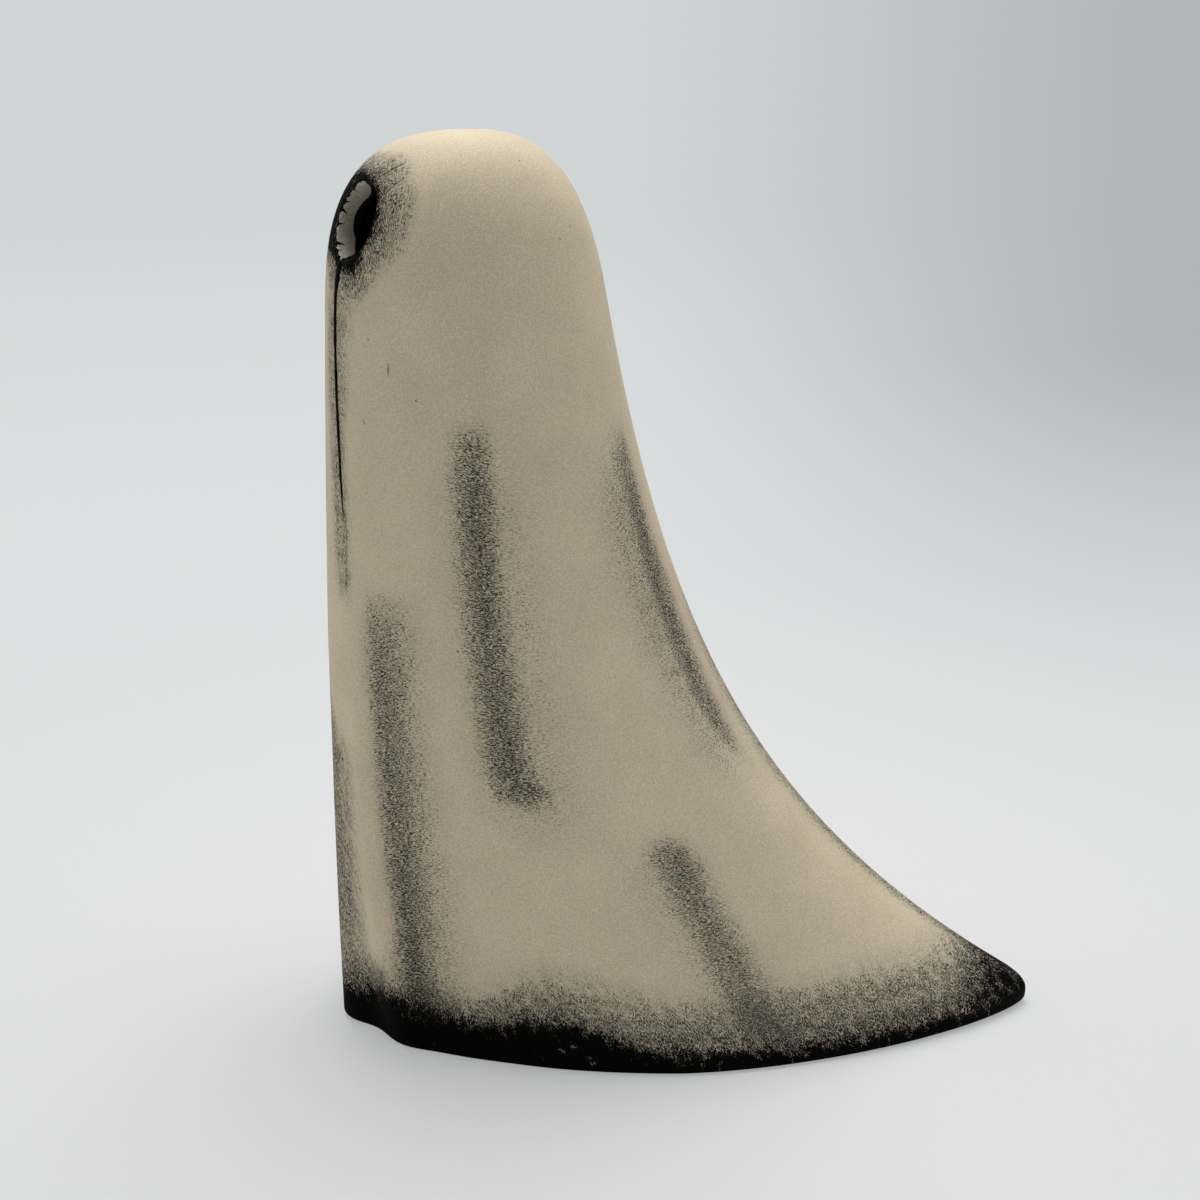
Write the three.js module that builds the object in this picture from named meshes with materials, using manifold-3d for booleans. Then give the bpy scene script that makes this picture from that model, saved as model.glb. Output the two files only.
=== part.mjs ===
// A small sheet ghost with a trailing train, cast hollow and closed by a base plate.
// Millimetres, +Z up. The ghost faces -Y and its train runs out along +Y.
import * as THREE from 'three';
import { mergeVertices } from 'three/addons/utils/BufferGeometryUtils.js';
import Module from 'manifold-3d';

const wasm = await Module();
wasm.setup();

// Outside of the figure. Distances along Y are measured from the upright axis of the head.
const HEIGHT = 109.3;
const FRONT_REACH = 17.2;
const FRONT_BOW = 0.62;
const FRONT_BOW_HEIGHT = 25;
const FRONT_BOW_SPAN = 50;
const BACK_REACH = 12.6;
const BACK_LEAN = 0.09;
const HEAD_WIDTH = 32.4;
const HEM_WIDTH = 42;
const FLARE_POWER = 1.6;

// The head closes as a dome whose sections shrink by this power of the height.
const DOME_HEIGHT = 20.2;
const DOME_POWER = 2.8;

// The train falls away behind as a decaying curve and ends in a rounded nose at the floor.
const TRAIN_REACH = 54;
const TRAIN_RISE = 29.3;
const TRAIN_TUCK = 6.7;
const TRAIN_NOSE_HEIGHT = 5.1;
const TRAIN_SIDE_ANGLE = 27;

// The widest place of a section moves back as the train spreads.
const HEAD_MIDDLE = 0.7;
const HEM_MIDDLE_SHIFT = 25.3;
const MIDDLE_POWER = 1.27;

// Section powers behind the widest place: round at the head, drawn to a point at the hem.
const ROUND_POWER = 2;
const TRAIN_LENGTH_POWER = 1.6;
const TRAIN_WIDTH_POWER = 1.27;

// Valleys of the cloth, each the same on both sides. Bearings are degrees round the section
// from the front, depth and heights are millimetres, and a negative depth is a ridge.
const FOLDS = [
  { name: 'front valley', foot: 0, top: 0, depth: 1.5, spread: 8, low: -10, high: 50 },
  { name: 'front lip', foot: 14, top: 14, depth: -0.2, spread: 6, low: -10, high: 44 },
  { name: 'front corner scoop', foot: 27, top: 24, depth: 1.5, spread: 8, low: -10, high: 34 },
  { name: 'front corner ridge', foot: 39, top: 37, depth: -0.7, spread: 6, low: -10, high: 66 },
  { name: 'front side valley', foot: 47, top: 50, depth: 1.1, spread: 7, low: -2, high: 66 },
  { name: 'hem scallop', foot: 60, top: 62, depth: 0.4, spread: 8, low: -10, high: 22 },
  { name: 'side valley', foot: 88, top: 88, depth: 1.0, spread: 8, low: 20, high: 86 },
  { name: 'low side valley', foot: 110, top: 118, depth: 1.1, spread: 7, low: 0, high: 38 },
  { name: 'back valley', foot: 156, top: 160, depth: 0.9, spread: 7, low: 26, high: 84 },
];
const FOLD_EASE = 16;

// Wall of the casting, and the rebate under it that takes the base.
const WALL = 2.7;
const HEM_LIP = 1.5;
const HEM_ROUND = 0.9;
const PLATE_THICKNESS = 2;
const FELT_THICKNESS = 1.2;
const BASE_CLEARANCE = 0.3;
const FELT_MARGIN = 0.8;

// Each eye is an upright egg-shaped hole, cut square to the surface and set down from the crown.
const EYE_BEARING = 33.5;
const EYE_BELOW_CROWN = 9.3;
const EYE_LENGTH = 9.4;
const EYE_WIDTH = 7.6;
const EYE_EGG = 0.12;

// A black cup behind each eye closes the hole from inside the wall.
const CUP_RIM = 1.1;
const CUP_CLEARANCE = 0.3;
const CUP_POCKET = 2.4;
const CUP_FLOOR = 0.8;

// Fineness of the surfaces.
const COLUMNS = 90;
const BODY_ROWS = 26;
const DOME_ROWS = 10;
const HEM_ROWS = 3;
const HOLLOW_COLUMNS = 45;
const HOLLOW_ROWS = 13;
const HOLLOW_DOME_ROWS = 6;
const OUTLINE_POINTS = 60;
const EYE_POINTS = 32;
const FLOOR_CROWDING = 1.25;
const PROBE_ANGLE = 1;
const PROBE_HEIGHT = 1;
const CUT_MARGIN = 1;
const MERGE_DISTANCE = 1e-5;

const DEGREE = Math.PI / 180;
const SPRING_HEIGHT = HEIGHT - DOME_HEIGHT;
const REBATE_DEPTH = FELT_THICKNESS + PLATE_THICKNESS;

// The eye holes pass right through the wall, so they start well outside and end well inside.
const EYE_HEIGHT = HEIGHT - EYE_BELOW_CROWN;
const HOLE_REACH = 2 * WALL;
const CUP_DEPTH = WALL + CUP_CLEARANCE + CUP_POCKET + CUP_FLOOR;

// Body of the cloth

// How far the train has spread at a height: 1 on the floor, fading upwards.
function trainSpread(height) {
  return Math.exp(-Math.max(height, 0) / TRAIN_RISE);
}

// How far the folds draw the surface in at a height and a bearing, in degrees from the front.
function foldDepth(height, bearing) {
  let depth = 0;
  for (const fold of FOLDS) {
    const along = THREE.MathUtils.clamp((height - fold.low) / (fold.high - fold.low), 0, 1);
    const middle = THREE.MathUtils.lerp(fold.foot, fold.top, along);
    const across = (bearing - middle) / fold.spread;
    const start = THREE.MathUtils.smoothstep(height, fold.low, fold.low + FOLD_EASE);
    const end = 1 - THREE.MathUtils.smoothstep(height, fold.high - 2 * FOLD_EASE, fold.high);
    depth += fold.depth * start * end * Math.exp(-across * across);
  }
  return depth;
}

// Front, back, widest place and half width of the section at a height, drawn in by a wall.
function sectionLines(height, wall) {
  const spread = trainSpread(height);
  const climb = THREE.MathUtils.clamp((height - SPRING_HEIGHT) / (DOME_HEIGHT - wall), 0, 1);
  const closing = Math.pow(1 - Math.pow(climb, DOME_POWER), 1 / DOME_POWER);
  const bow = (height - FRONT_BOW_HEIGHT) / FRONT_BOW_SPAN;
  const tuck = Math.max(0, 1 - height / TRAIN_NOSE_HEIGHT);
  const tailWall = wall * (1 + (1 / Math.sin(TRAIN_SIDE_ANGLE * DEGREE) - 1) * spread);
  const middle = HEAD_MIDDLE + HEM_MIDDLE_SHIFT * Math.pow(spread, MIDDLE_POWER);
  const front = -FRONT_REACH + FRONT_BOW * bow * bow + wall;
  const back = BACK_REACH + BACK_LEAN * (HEIGHT - height) + TRAIN_REACH * spread
    - TRAIN_TUCK * tuck * tuck - tailWall;
  const flare = Math.pow(Math.max(0, 1 - height / HEIGHT), FLARE_POWER);
  const half = (HEAD_WIDTH + (HEM_WIDTH - HEAD_WIDTH) * flare) / 2 - wall;
  return {
    front: middle + (front - middle) * closing,
    back: middle + (back - middle) * closing,
    middle,
    half: half * closing,
    spread,
  };
}

// A point of the plain section: an ellipse ahead of the widest place, and behind it a
// superellipse that is drawn out to the train's tip. The bearing is in radians.
function plainPoint(height, bearing, wall) {
  const { front, back, middle, half, spread } = sectionLines(height, wall);
  const along = Math.cos(bearing);
  const side = Math.sin(bearing);
  if (along >= 0) {
    return new THREE.Vector3(half * side, middle + (front - middle) * along, height);
  }
  const lengthPower = THREE.MathUtils.lerp(ROUND_POWER, TRAIN_LENGTH_POWER, spread);
  const widthPower = THREE.MathUtils.lerp(ROUND_POWER, TRAIN_WIDTH_POWER, spread);
  const width = Math.pow(1 - Math.pow(-along, lengthPower), 1 / widthPower);
  return new THREE.Vector3(half * width * Math.sign(side), middle - (back - middle) * along, height);
}

// A point of the draped section: the plain one moved in by its folds, square to the section.
function drapedPoint(height, bearing, wall, drawnIn = 0) {
  const point = plainPoint(height, bearing, wall);
  const step = PROBE_ANGLE * DEGREE;
  const before = plainPoint(height, bearing - step, wall);
  const after = plainPoint(height, bearing + step, wall);
  const inward = new THREE.Vector3(before.y - after.y, after.x - before.x, 0).normalize();
  const fromFront = Math.acos(THREE.MathUtils.clamp(Math.cos(bearing), -1, 1)) / DEGREE;
  return point.addScaledVector(inward, foldDepth(height, fromFront) + drawnIn);
}

// Heights of the rows: closer together near the floor, and evenly round the dome.
function rowHeights(bottom, rows, domeRows, wall) {
  const heights = [];
  for (let row = 0; row < rows; row += 1) {
    const share = row / rows;
    heights.push(bottom + (SPRING_HEIGHT - bottom) * Math.pow(share, FLOOR_CROWDING));
  }
  for (let row = 0; row <= domeRows; row += 1) {
    const turn = (row / domeRows) * Math.PI / 2;
    heights.push(SPRING_HEIGHT + (DOME_HEIGHT - wall) * Math.sin(turn));
  }
  return heights;
}

// Closed solid through rings of points, from a flat bottom to a point at the crown.
function ringSolid(rings, crown) {
  const columns = rings[0].length;
  const floor = rings[0].reduce((sum, point) => sum.add(point), new THREE.Vector3());
  floor.divideScalar(columns);
  const points = [...rings.flat(), floor, crown];
  const floorIndex = rings.length * columns;
  const crownIndex = floorIndex + 1;
  const faces = [];
  for (let column = 0; column < columns; column += 1) {
    const next = (column + 1) % columns;
    for (let row = 0; row + 1 < rings.length; row += 1) {
      const low = row * columns;
      const high = low + columns;
      faces.push(low + column, low + next, high + next);
      faces.push(low + column, high + next, high + column);
    }
    const last = (rings.length - 1) * columns;
    faces.push(floorIndex, next, column);
    faces.push(last + column, last + next, crownIndex);
  }
  const geometry = new THREE.BufferGeometry().setFromPoints(points);
  geometry.setIndex(faces);
  return geometry;
}

// One ring of the draped surface.
function drapedRing(height, columns, wall, drawnIn) {
  const ring = [];
  for (let column = 0; column < columns; column += 1) {
    ring.push(drapedPoint(height, (column / columns) * 2 * Math.PI, wall, drawnIn));
  }
  return ring;
}

// The outside of the casting, with its bottom edge rounded over.
function outsideGeometry() {
  const rings = [];
  for (let row = 0; row < HEM_ROWS; row += 1) {
    const turn = (row / HEM_ROWS) * Math.PI / 2;
    const ring = drapedRing(HEM_ROUND, COLUMNS, 0, HEM_ROUND * (1 - Math.sin(turn)));
    ring.forEach((point) => point.setZ(HEM_ROUND * (1 - Math.cos(turn))));
    rings.push(ring);
  }
  const heights = rowHeights(HEM_ROUND, BODY_ROWS, DOME_ROWS, 0).slice(0, -1);
  for (const height of heights) {
    rings.push(drapedRing(height, COLUMNS, 0, 0));
  }
  return ringSolid(rings, new THREE.Vector3(0, sectionLines(HEIGHT, 0).middle, HEIGHT));
}

// The hollow inside the casting, or the space a given distance inside the outer surface.
function hollowGeometry(wall, bottom) {
  const heights = rowHeights(bottom, HOLLOW_ROWS, HOLLOW_DOME_ROWS, wall).slice(0, -1);
  const rings = heights.map((height) => drapedRing(height, HOLLOW_COLUMNS, wall, 0));
  return ringSolid(rings, new THREE.Vector3(0, sectionLines(HEIGHT, wall).middle, HEIGHT - wall));
}

// A flat blank in the outline of the hem, drawn in and standing between two heights.
function hemBlank(drawnIn, from, to) {
  const outline = drapedRing(HEM_ROUND, OUTLINE_POINTS, drawnIn, 0);
  const shape = new THREE.Shape(outline.map((point) => new THREE.Vector2(point.x, point.y)));
  const blank = new THREE.ExtrudeGeometry(shape, { depth: to - from, bevelEnabled: false });
  return blank.translate(0, 0, from);
}

// Eyes

// Where an eye sits on the outside, and the frame that looks straight into it.
function eyeFrame(side) {
  const bearing = EYE_BEARING * DEGREE;
  const step = PROBE_ANGLE * DEGREE;
  const centre = drapedPoint(EYE_HEIGHT, bearing, 0);
  const round = drapedPoint(EYE_HEIGHT, bearing + step, 0)
    .sub(drapedPoint(EYE_HEIGHT, bearing - step, 0));
  const rise = drapedPoint(EYE_HEIGHT + PROBE_HEIGHT, bearing, 0)
    .sub(drapedPoint(EYE_HEIGHT - PROBE_HEIGHT, bearing, 0));
  const outward = round.cross(rise).normalize();
  centre.x *= side;
  outward.x *= side;
  const across = new THREE.Vector3(0, 0, 1).cross(outward).normalize();
  const up = new THREE.Vector3().crossVectors(outward, across);
  return new THREE.Matrix4().makeBasis(across, up, outward).setPosition(centre);
}

// The egg outline of an eye, widened by a margin all round.
function eyeShape(margin) {
  const points = [];
  for (let index = 0; index < EYE_POINTS; index += 1) {
    const turn = (index / EYE_POINTS) * 2 * Math.PI;
    const broad = 1 + EYE_EGG * Math.sin(turn);
    points.push(new THREE.Vector2(
      (EYE_WIDTH / 2 + margin) * broad * Math.cos(turn),
      (EYE_LENGTH / 2 + margin) * Math.sin(turn),
    ));
  }
  return new THREE.Shape(points);
}

// A plug along the eye's axis, from a depth below the surface to a height above it.
function eyePlug(side, margin, depth, above) {
  const options = { depth: depth + above, bevelEnabled: false };
  const plug = new THREE.ExtrudeGeometry(eyeShape(margin), options);
  return plug.translate(0, 0, -depth).applyMatrix4(eyeFrame(side));
}

// Solid modelling helpers

// A closed geometry as a solid that can be cut and joined.
function toSolid(geometry) {
  const plain = geometry.clone();
  plain.deleteAttribute('normal');
  plain.deleteAttribute('uv');
  const merged = mergeVertices(plain, MERGE_DISTANCE);
  return new wasm.Manifold(new wasm.Mesh({
    numProp: 3,
    vertProperties: new Float32Array(merged.attributes.position.array),
    triVerts: new Uint32Array(merged.index.array),
  }));
}

// A solid as a geometry that a mesh can show.
function toGeometry(solid) {
  const mesh = solid.getMesh();
  const geometry = new THREE.BufferGeometry();
  geometry.setAttribute('position', new THREE.BufferAttribute(mesh.vertProperties, 3));
  geometry.setIndex(new THREE.BufferAttribute(mesh.triVerts, 1));
  geometry.computeVertexNormals();
  return geometry;
}

// Pieces

const BONE_PAINT = { color: 0xbdb39c, roughness: 0.85, metalness: 0 };
const BLACK_PAINT = { color: 0x0a0a0a, roughness: 0.35, metalness: 0 };
const GREY_BOARD = { color: 0x4a4743, roughness: 0.8, metalness: 0 };
const BLACK_FELT = { color: 0x141414, roughness: 1, metalness: 0 };

function bodyShell() {
  let shell = toSolid(outsideGeometry());
  shell = shell.subtract(toSolid(hollowGeometry(WALL, REBATE_DEPTH - CUT_MARGIN)));
  shell = shell.subtract(toSolid(hemBlank(HEM_LIP, -CUT_MARGIN, REBATE_DEPTH)));
  for (const side of [-1, 1]) {
    shell = shell.subtract(toSolid(eyePlug(side, 0, HOLE_REACH, HOLE_REACH)));
  }
  return toGeometry(shell);
}

function eyeCup(side) {
  const behindWall = toSolid(hollowGeometry(WALL + CUP_CLEARANCE, SPRING_HEIGHT / 2));
  const blank = toSolid(eyePlug(side, CUP_RIM, CUP_DEPTH, HOLE_REACH));
  const pocket = toSolid(eyePlug(side, 0, CUP_DEPTH - CUP_FLOOR, HOLE_REACH));
  return toGeometry(behindWall.intersect(blank).subtract(pocket));
}

function basePlate() {
  return hemBlank(HEM_LIP + BASE_CLEARANCE, FELT_THICKNESS, REBATE_DEPTH);
}

function feltPad() {
  return hemBlank(HEM_LIP + BASE_CLEARANCE + FELT_MARGIN, 0, FELT_THICKNESS);
}

function piece(name, geometry, finish) {
  const mesh = new THREE.Mesh(geometry, new THREE.MeshStandardMaterial(finish));
  mesh.name = name;
  return mesh;
}

const figure = new THREE.Group();
figure.add(piece('body_shell', bodyShell(), BONE_PAINT));
figure.add(piece('eye_cup_left', eyeCup(1), BLACK_PAINT));
figure.add(piece('eye_cup_right', eyeCup(-1), BLACK_PAINT));
figure.add(piece('base_plate', basePlate(), GREY_BOARD));
figure.add(piece('felt_pad', feltPad(), BLACK_FELT));

// The origin is on the floor under the middle of the whole figure.
const box = new THREE.Box3().setFromObject(figure);
figure.position.y = -(box.min.y + box.max.y) / 2;

const group = new THREE.Group();
group.add(figure);

export default group;
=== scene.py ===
"""Small sheet ghost with a trailing train: its finished surfaces, brushed paint, stage and camera.

Sizes are in millimetres, and are scaled to metres where a mesh is written. Bearings are degrees
round the figure from its front, positive towards its left, and heights are above the floor.
"""

import logging
import math
from dataclasses import dataclass, field
from enum import Enum
from functools import cached_property

import bpy
import numpy as np
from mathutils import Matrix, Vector
from numpy.typing import NDArray


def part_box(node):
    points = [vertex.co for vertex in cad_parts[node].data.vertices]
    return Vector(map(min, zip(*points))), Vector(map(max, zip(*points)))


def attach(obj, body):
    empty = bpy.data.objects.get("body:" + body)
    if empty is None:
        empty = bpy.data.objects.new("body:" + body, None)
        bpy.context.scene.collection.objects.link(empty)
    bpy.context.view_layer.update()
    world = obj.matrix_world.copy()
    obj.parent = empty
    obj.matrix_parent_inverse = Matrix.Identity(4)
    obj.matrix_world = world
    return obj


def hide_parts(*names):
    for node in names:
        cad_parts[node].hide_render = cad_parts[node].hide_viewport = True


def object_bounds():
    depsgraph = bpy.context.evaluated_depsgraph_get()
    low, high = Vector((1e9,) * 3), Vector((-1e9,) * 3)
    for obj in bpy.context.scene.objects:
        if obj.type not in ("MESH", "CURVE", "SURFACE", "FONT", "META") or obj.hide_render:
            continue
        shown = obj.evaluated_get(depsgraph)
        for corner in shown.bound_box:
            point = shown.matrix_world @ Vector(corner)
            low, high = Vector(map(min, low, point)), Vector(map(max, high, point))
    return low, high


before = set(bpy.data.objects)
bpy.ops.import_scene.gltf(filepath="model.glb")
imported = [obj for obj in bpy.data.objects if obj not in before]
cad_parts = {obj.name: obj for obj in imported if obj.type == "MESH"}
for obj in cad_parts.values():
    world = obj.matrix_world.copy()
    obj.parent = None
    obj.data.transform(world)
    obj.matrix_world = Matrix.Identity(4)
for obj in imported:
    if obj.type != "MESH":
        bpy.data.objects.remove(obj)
CAD_LOW, CAD_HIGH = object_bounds()

Grid = NDArray[np.float64]
Index = NDArray[np.int64]
Sizes = tuple[float, ...]
Pair = tuple[float, float]
Triple = tuple[float, float, float]
Colour = Triple
Piece = bpy.types.Object
Material = bpy.types.Material
Node = bpy.types.Node
Socket = bpy.types.NodeSocket

MM = 0.001
TURN = 2.0 * np.pi
BODY = "root"


class Side(Enum):
    """The two sides of the ghost, by the sign of their bearings."""

    LEFT = 1
    RIGHT = -1


class Bristles(Enum):
    """The two ways that the brush's single marks lie on the cloth."""

    LEVEL = "stripe"
    UPRIGHT = "hem"


class Slot(Enum):
    """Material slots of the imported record."""

    BONE = "bone_shell"
    BLACK = "eye_black"
    BOARD = "base_board"
    FELT = "felt"


def smoothstep(value: Grid, low: float, high: float) -> Grid:
    """A smooth rise from 0 at low to 1 at high: 3t^2 - 2t^3, with t the share of the way."""
    share = np.clip((value - low) / (high - low), 0.0, 1.0)
    return share * share * (3.0 - 2.0 * share)


def paint_load(cover: Grid) -> Grid:
    """How thick the paint must lie for its broken marks to cover a mean share of the surface.

    It is m / (1 - 0.45 m^4) for a share m, and rises steeply where the share is over 1.
    """
    held = np.clip(cover, 0.0, 1.0)
    return held / (1.0 - 0.45 * held**4) + 12.0 * np.maximum(cover - 1.0, 0.0)


def unit(vectors: Grid) -> Grid:
    """The vectors scaled to length 1, with a vector of no length left as it is."""
    return vectors / np.maximum(np.linalg.norm(vectors, axis=-1, keepdims=True), 1e-12)


def weave(x: Grid, y: Grid, waves: tuple[Sizes, ...]) -> Grid:
    """A sum of crossed waves: for each, its size times sin(ax + by + c) times sin(dx + ey + f)."""
    return sum(size * np.sin(a * x + b * y + c) * np.sin(d * x + e * y + f)
               for size, a, b, c, d, e, f in waves)


def ripples(place: Grid, waves: tuple[Sizes, ...]) -> Grid:
    """A sum of sines along a line: for each, its size times sin(count * place + start)."""
    return sum(size * np.sin(count * place + start) for count, start, size in waves)


def swelling(share: Grid, power: float, least: float = 0.0, skew: float = 1.0) -> Grid:
    """A rise from its least at one end of a line to its fullest and back."""
    return np.sin(np.pi * share**skew) ** power + least


def quarter_round(radius: float, rings: int) -> Grid:
    """Insets and depths of a quarter circle's rings, from the first on: r(1 - sin a), r(1 - cos a)."""
    turn = np.linspace(0.0, np.pi / 2.0, rings + 1)[1:]
    return radius * (1.0 - np.stack([np.sin(turn), np.cos(turn)], axis=-1))


@dataclass(frozen=True)
class Fold:
    """A valley of the cloth, the same on both sides, or a ridge where its depth is negative.

    Its foot and top are bearings, and it runs from its low height to its high one.
    """

    foot: float
    top: float
    depth: float
    spread: float
    low: float
    high: float


@dataclass(frozen=True)
class ClothForm:
    """The draped outside of the figure, and every surface a wall's thickness inside it.

    Distances along Y are measured from the upright axis of the head.
    """

    height: float = 109.3
    front_reach: float = 17.2
    front_bow: float = 0.62
    front_bow_height: float = 25.0
    front_bow_span: float = 50.0
    back_reach: float = 12.6
    back_lean: float = 0.09
    head_width: float = 32.4
    hem_width: float = 42.0
    hem_round: float = 0.9
    flare_power: float = 1.6
    dome_height: float = 20.2
    dome_power: float = 2.8
    train_reach: float = 54.0
    train_rise: float = 29.3
    train_tuck: float = 6.7
    train_nose_height: float = 5.1
    train_side_angle: float = 27.0
    head_middle: float = 0.7
    hem_middle_shift: float = 25.3
    middle_power: float = 1.27
    round_power: float = 2.0
    train_length_power: float = 1.6
    train_width_power: float = 1.27
    fold_ease: float = 16.0
    probe: float = 1.0
    neck: float = 8.0
    fine: int = 2000
    folds: tuple[Fold, ...] = (
        Fold(0, 0, 1.5, 8, -10, 50), Fold(14, 14, -0.2, 6, -10, 44), Fold(27, 24, 1.5, 8, -10, 34),
        Fold(39, 37, -0.7, 6, -10, 66), Fold(47, 50, 1.1, 7, -2, 66), Fold(60, 62, 0.4, 8, -10, 22),
        Fold(88, 88, 1.0, 8, 20, 86), Fold(110, 118, 1.1, 7, 0, 38), Fold(156, 160, 0.9, 7, 26, 84),
    )

    @property
    def spring_height(self) -> float:
        """Height where the dome of the head begins."""
        return self.height - self.dome_height

    @cached_property
    def tip(self) -> float:
        """How far back the tip of the train reaches, from the head's axis."""
        return float(self.point(np.array(self.hem_round), np.array(180.0))[1])

    @cached_property
    def shift(self) -> float:
        """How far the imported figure's frame lies along Y from the head's axis."""
        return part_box("body_shell")[1].y / MM - self.tip

    def drawn_out(self, height: Grid) -> tuple[Grid, Grid]:
        """How far the train has spread at a height, e^(-h / rise), and where its widest place lies."""
        spread = np.exp(-np.maximum(height, 0.0) / self.train_rise)
        return spread, self.head_middle + self.hem_middle_shift * spread**self.middle_power

    def plain(self, height: Grid, bearing: Grid, wall: float) -> tuple[Grid, Grid]:
        """X and Y of the section without folds.

        Ahead of its widest place the section is an ellipse. Behind it x is the half width times
        (1 - |cos|^p)^(1/q), whose powers fall from 2 at the head to the drawn-out train's at the
        hem, with the spread of the train.

        Args:
            height: Heights of the points.
            bearing: Bearings of the points, in degrees.
            wall: Distance inside the outer surface.

        Returns:
            X and Y, in millimetres from the head's axis.
        """
        spread, middle = self.drawn_out(height)
        climb = np.clip((height - self.spring_height) / (self.dome_height - wall), 0.0, 1.0)
        closing = (1.0 - climb**self.dome_power) ** (1.0 / self.dome_power)
        bow = (height - self.front_bow_height) / self.front_bow_span
        tuck = np.maximum(0.0, 1.0 - height / self.train_nose_height)
        steepness = 1.0 / math.sin(math.radians(self.train_side_angle)) - 1.0
        front = wall - self.front_reach + self.front_bow * bow**2
        back = (self.back_reach + self.back_lean * (self.height - height) + self.train_reach * spread
                - self.train_tuck * tuck**2 - wall * (1.0 + steepness * spread))
        flare = np.maximum(0.0, 1.0 - height / self.height) ** self.flare_power
        half = (self.head_width + (self.hem_width - self.head_width) * flare) / 2.0 - wall
        along, side = np.cos(np.radians(bearing)), np.sin(np.radians(bearing))
        length_power = self.round_power + (self.train_length_power - self.round_power) * spread
        width_power = self.round_power + (self.train_width_power - self.round_power) * spread
        tail = np.maximum(1.0 - np.abs(along) ** length_power, 0.0) ** (1.0 / width_power)
        reach = np.where(along >= 0.0, middle - front, back - middle) * closing
        width = np.where(along >= 0.0, side, tail * np.sign(side))
        return half * closing * width, middle - reach * along

    def fold_depth(self, height: Grid, bearing: Grid) -> Grid:
        """How far the folds draw the surface in: the sum of a bell across each fold.

        Args:
            height: Heights of the points.
            bearing: Their bearings.

        Returns:
            Distances, negative on a ridge.
        """
        turned = np.abs((bearing + 180.0) % 360.0 - 180.0)
        total = np.zeros(np.broadcast(height, bearing).shape)
        for fold in self.folds:
            along = np.clip((height - fold.low) / (fold.high - fold.low), 0.0, 1.0)
            across = (turned - fold.foot - (fold.top - fold.foot) * along) / fold.spread
            start = smoothstep(height, fold.low, fold.low + self.fold_ease)
            end = 1.0 - smoothstep(height, fold.high - 2.0 * self.fold_ease, fold.high)
            total = total + fold.depth * start * end * np.exp(-(across**2))
        return total

    def point(self, height: Grid, bearing: Grid, wall: float = 0.0, drawn_in: float = 0.0) -> Grid:
        """Points of the draped surface.

        A point is the plain section's, moved square to the section by the depth of the folds.

        Args:
            height: Heights of the points.
            bearing: Bearings of the points, in degrees.
            wall: Distance inside the outer surface.
            drawn_in: A further distance towards the inside, square to the section.

        Returns:
            The points, with X, Y and Z as the last axis.
        """
        height, bearing = np.broadcast_arrays(np.asarray(height, float), np.asarray(bearing, float))
        x_before, y_before = self.plain(height, bearing - self.probe, wall)
        x_after, y_after = self.plain(height, bearing + self.probe, wall)
        inward = unit(np.stack([y_before - y_after, x_after - x_before], axis=-1))
        moved = np.stack(self.plain(height, bearing, wall), axis=-1)
        moved = moved + inward * (self.fold_depth(height, bearing) + drawn_in)[..., None]
        return np.concatenate([moved, height[..., None]], axis=-1)

    def normal(self, height: Grid, bearing: Grid) -> Grid:
        """Unit vectors square to the outside: the step round it crossed with the step up it.

        Args:
            height: Heights of the points.
            bearing: Their bearings.

        Returns:
            The vectors.
        """
        around = self.point(height, bearing + self.probe) - self.point(height, bearing - self.probe)
        rise = self.point(height + self.probe, bearing) - self.point(height - self.probe, bearing)
        return unit(np.cross(around, rise))

    def crown(self, wall: float) -> Grid:
        """The top point of the surface a wall inside the outer one."""
        return np.array([0.0, self.drawn_out(np.array(self.height))[1], self.height - wall])

    def row_heights(self, wall: float, bottom: float, body_step: float, head_step: float) -> Grid:
        """Heights of rows that lie a chosen step apart along the side of the figure.

        The distance up the side is summed over a fine run of heights, each piece divided by the
        step wanted there, and the rows are read off where the sum is a whole number.

        Args:
            wall: Distance inside the outer surface.
            bottom: Height of the first row.
            body_step: Distance between rows on the body.
            head_step: Distance between rows on the head.

        Returns:
            Rising heights, from the bottom to just under the crown.
        """
        turn = np.linspace(0.0, np.pi / 2.0, self.fine)
        dome = self.spring_height + (self.dome_height - wall) * np.sin(turn) ** (2.0 / self.dome_power)
        body = np.linspace(bottom, self.spring_height, self.fine, endpoint=False)
        heights = np.concatenate([body, dome])
        places = self.point(heights, np.full(heights.size, 90.0), wall)
        gaps = np.linalg.norm(np.diff(places, axis=0), axis=-1)
        head = smoothstep(heights[1:], self.spring_height - self.neck, self.spring_height)
        steps = np.append(0.0, np.cumsum(gaps / (body_step + (head_step - body_step) * head)))
        count = int(round(steps[-1]))
        return np.interp(np.arange(count) * steps[-1] / count, steps, heights)


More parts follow.
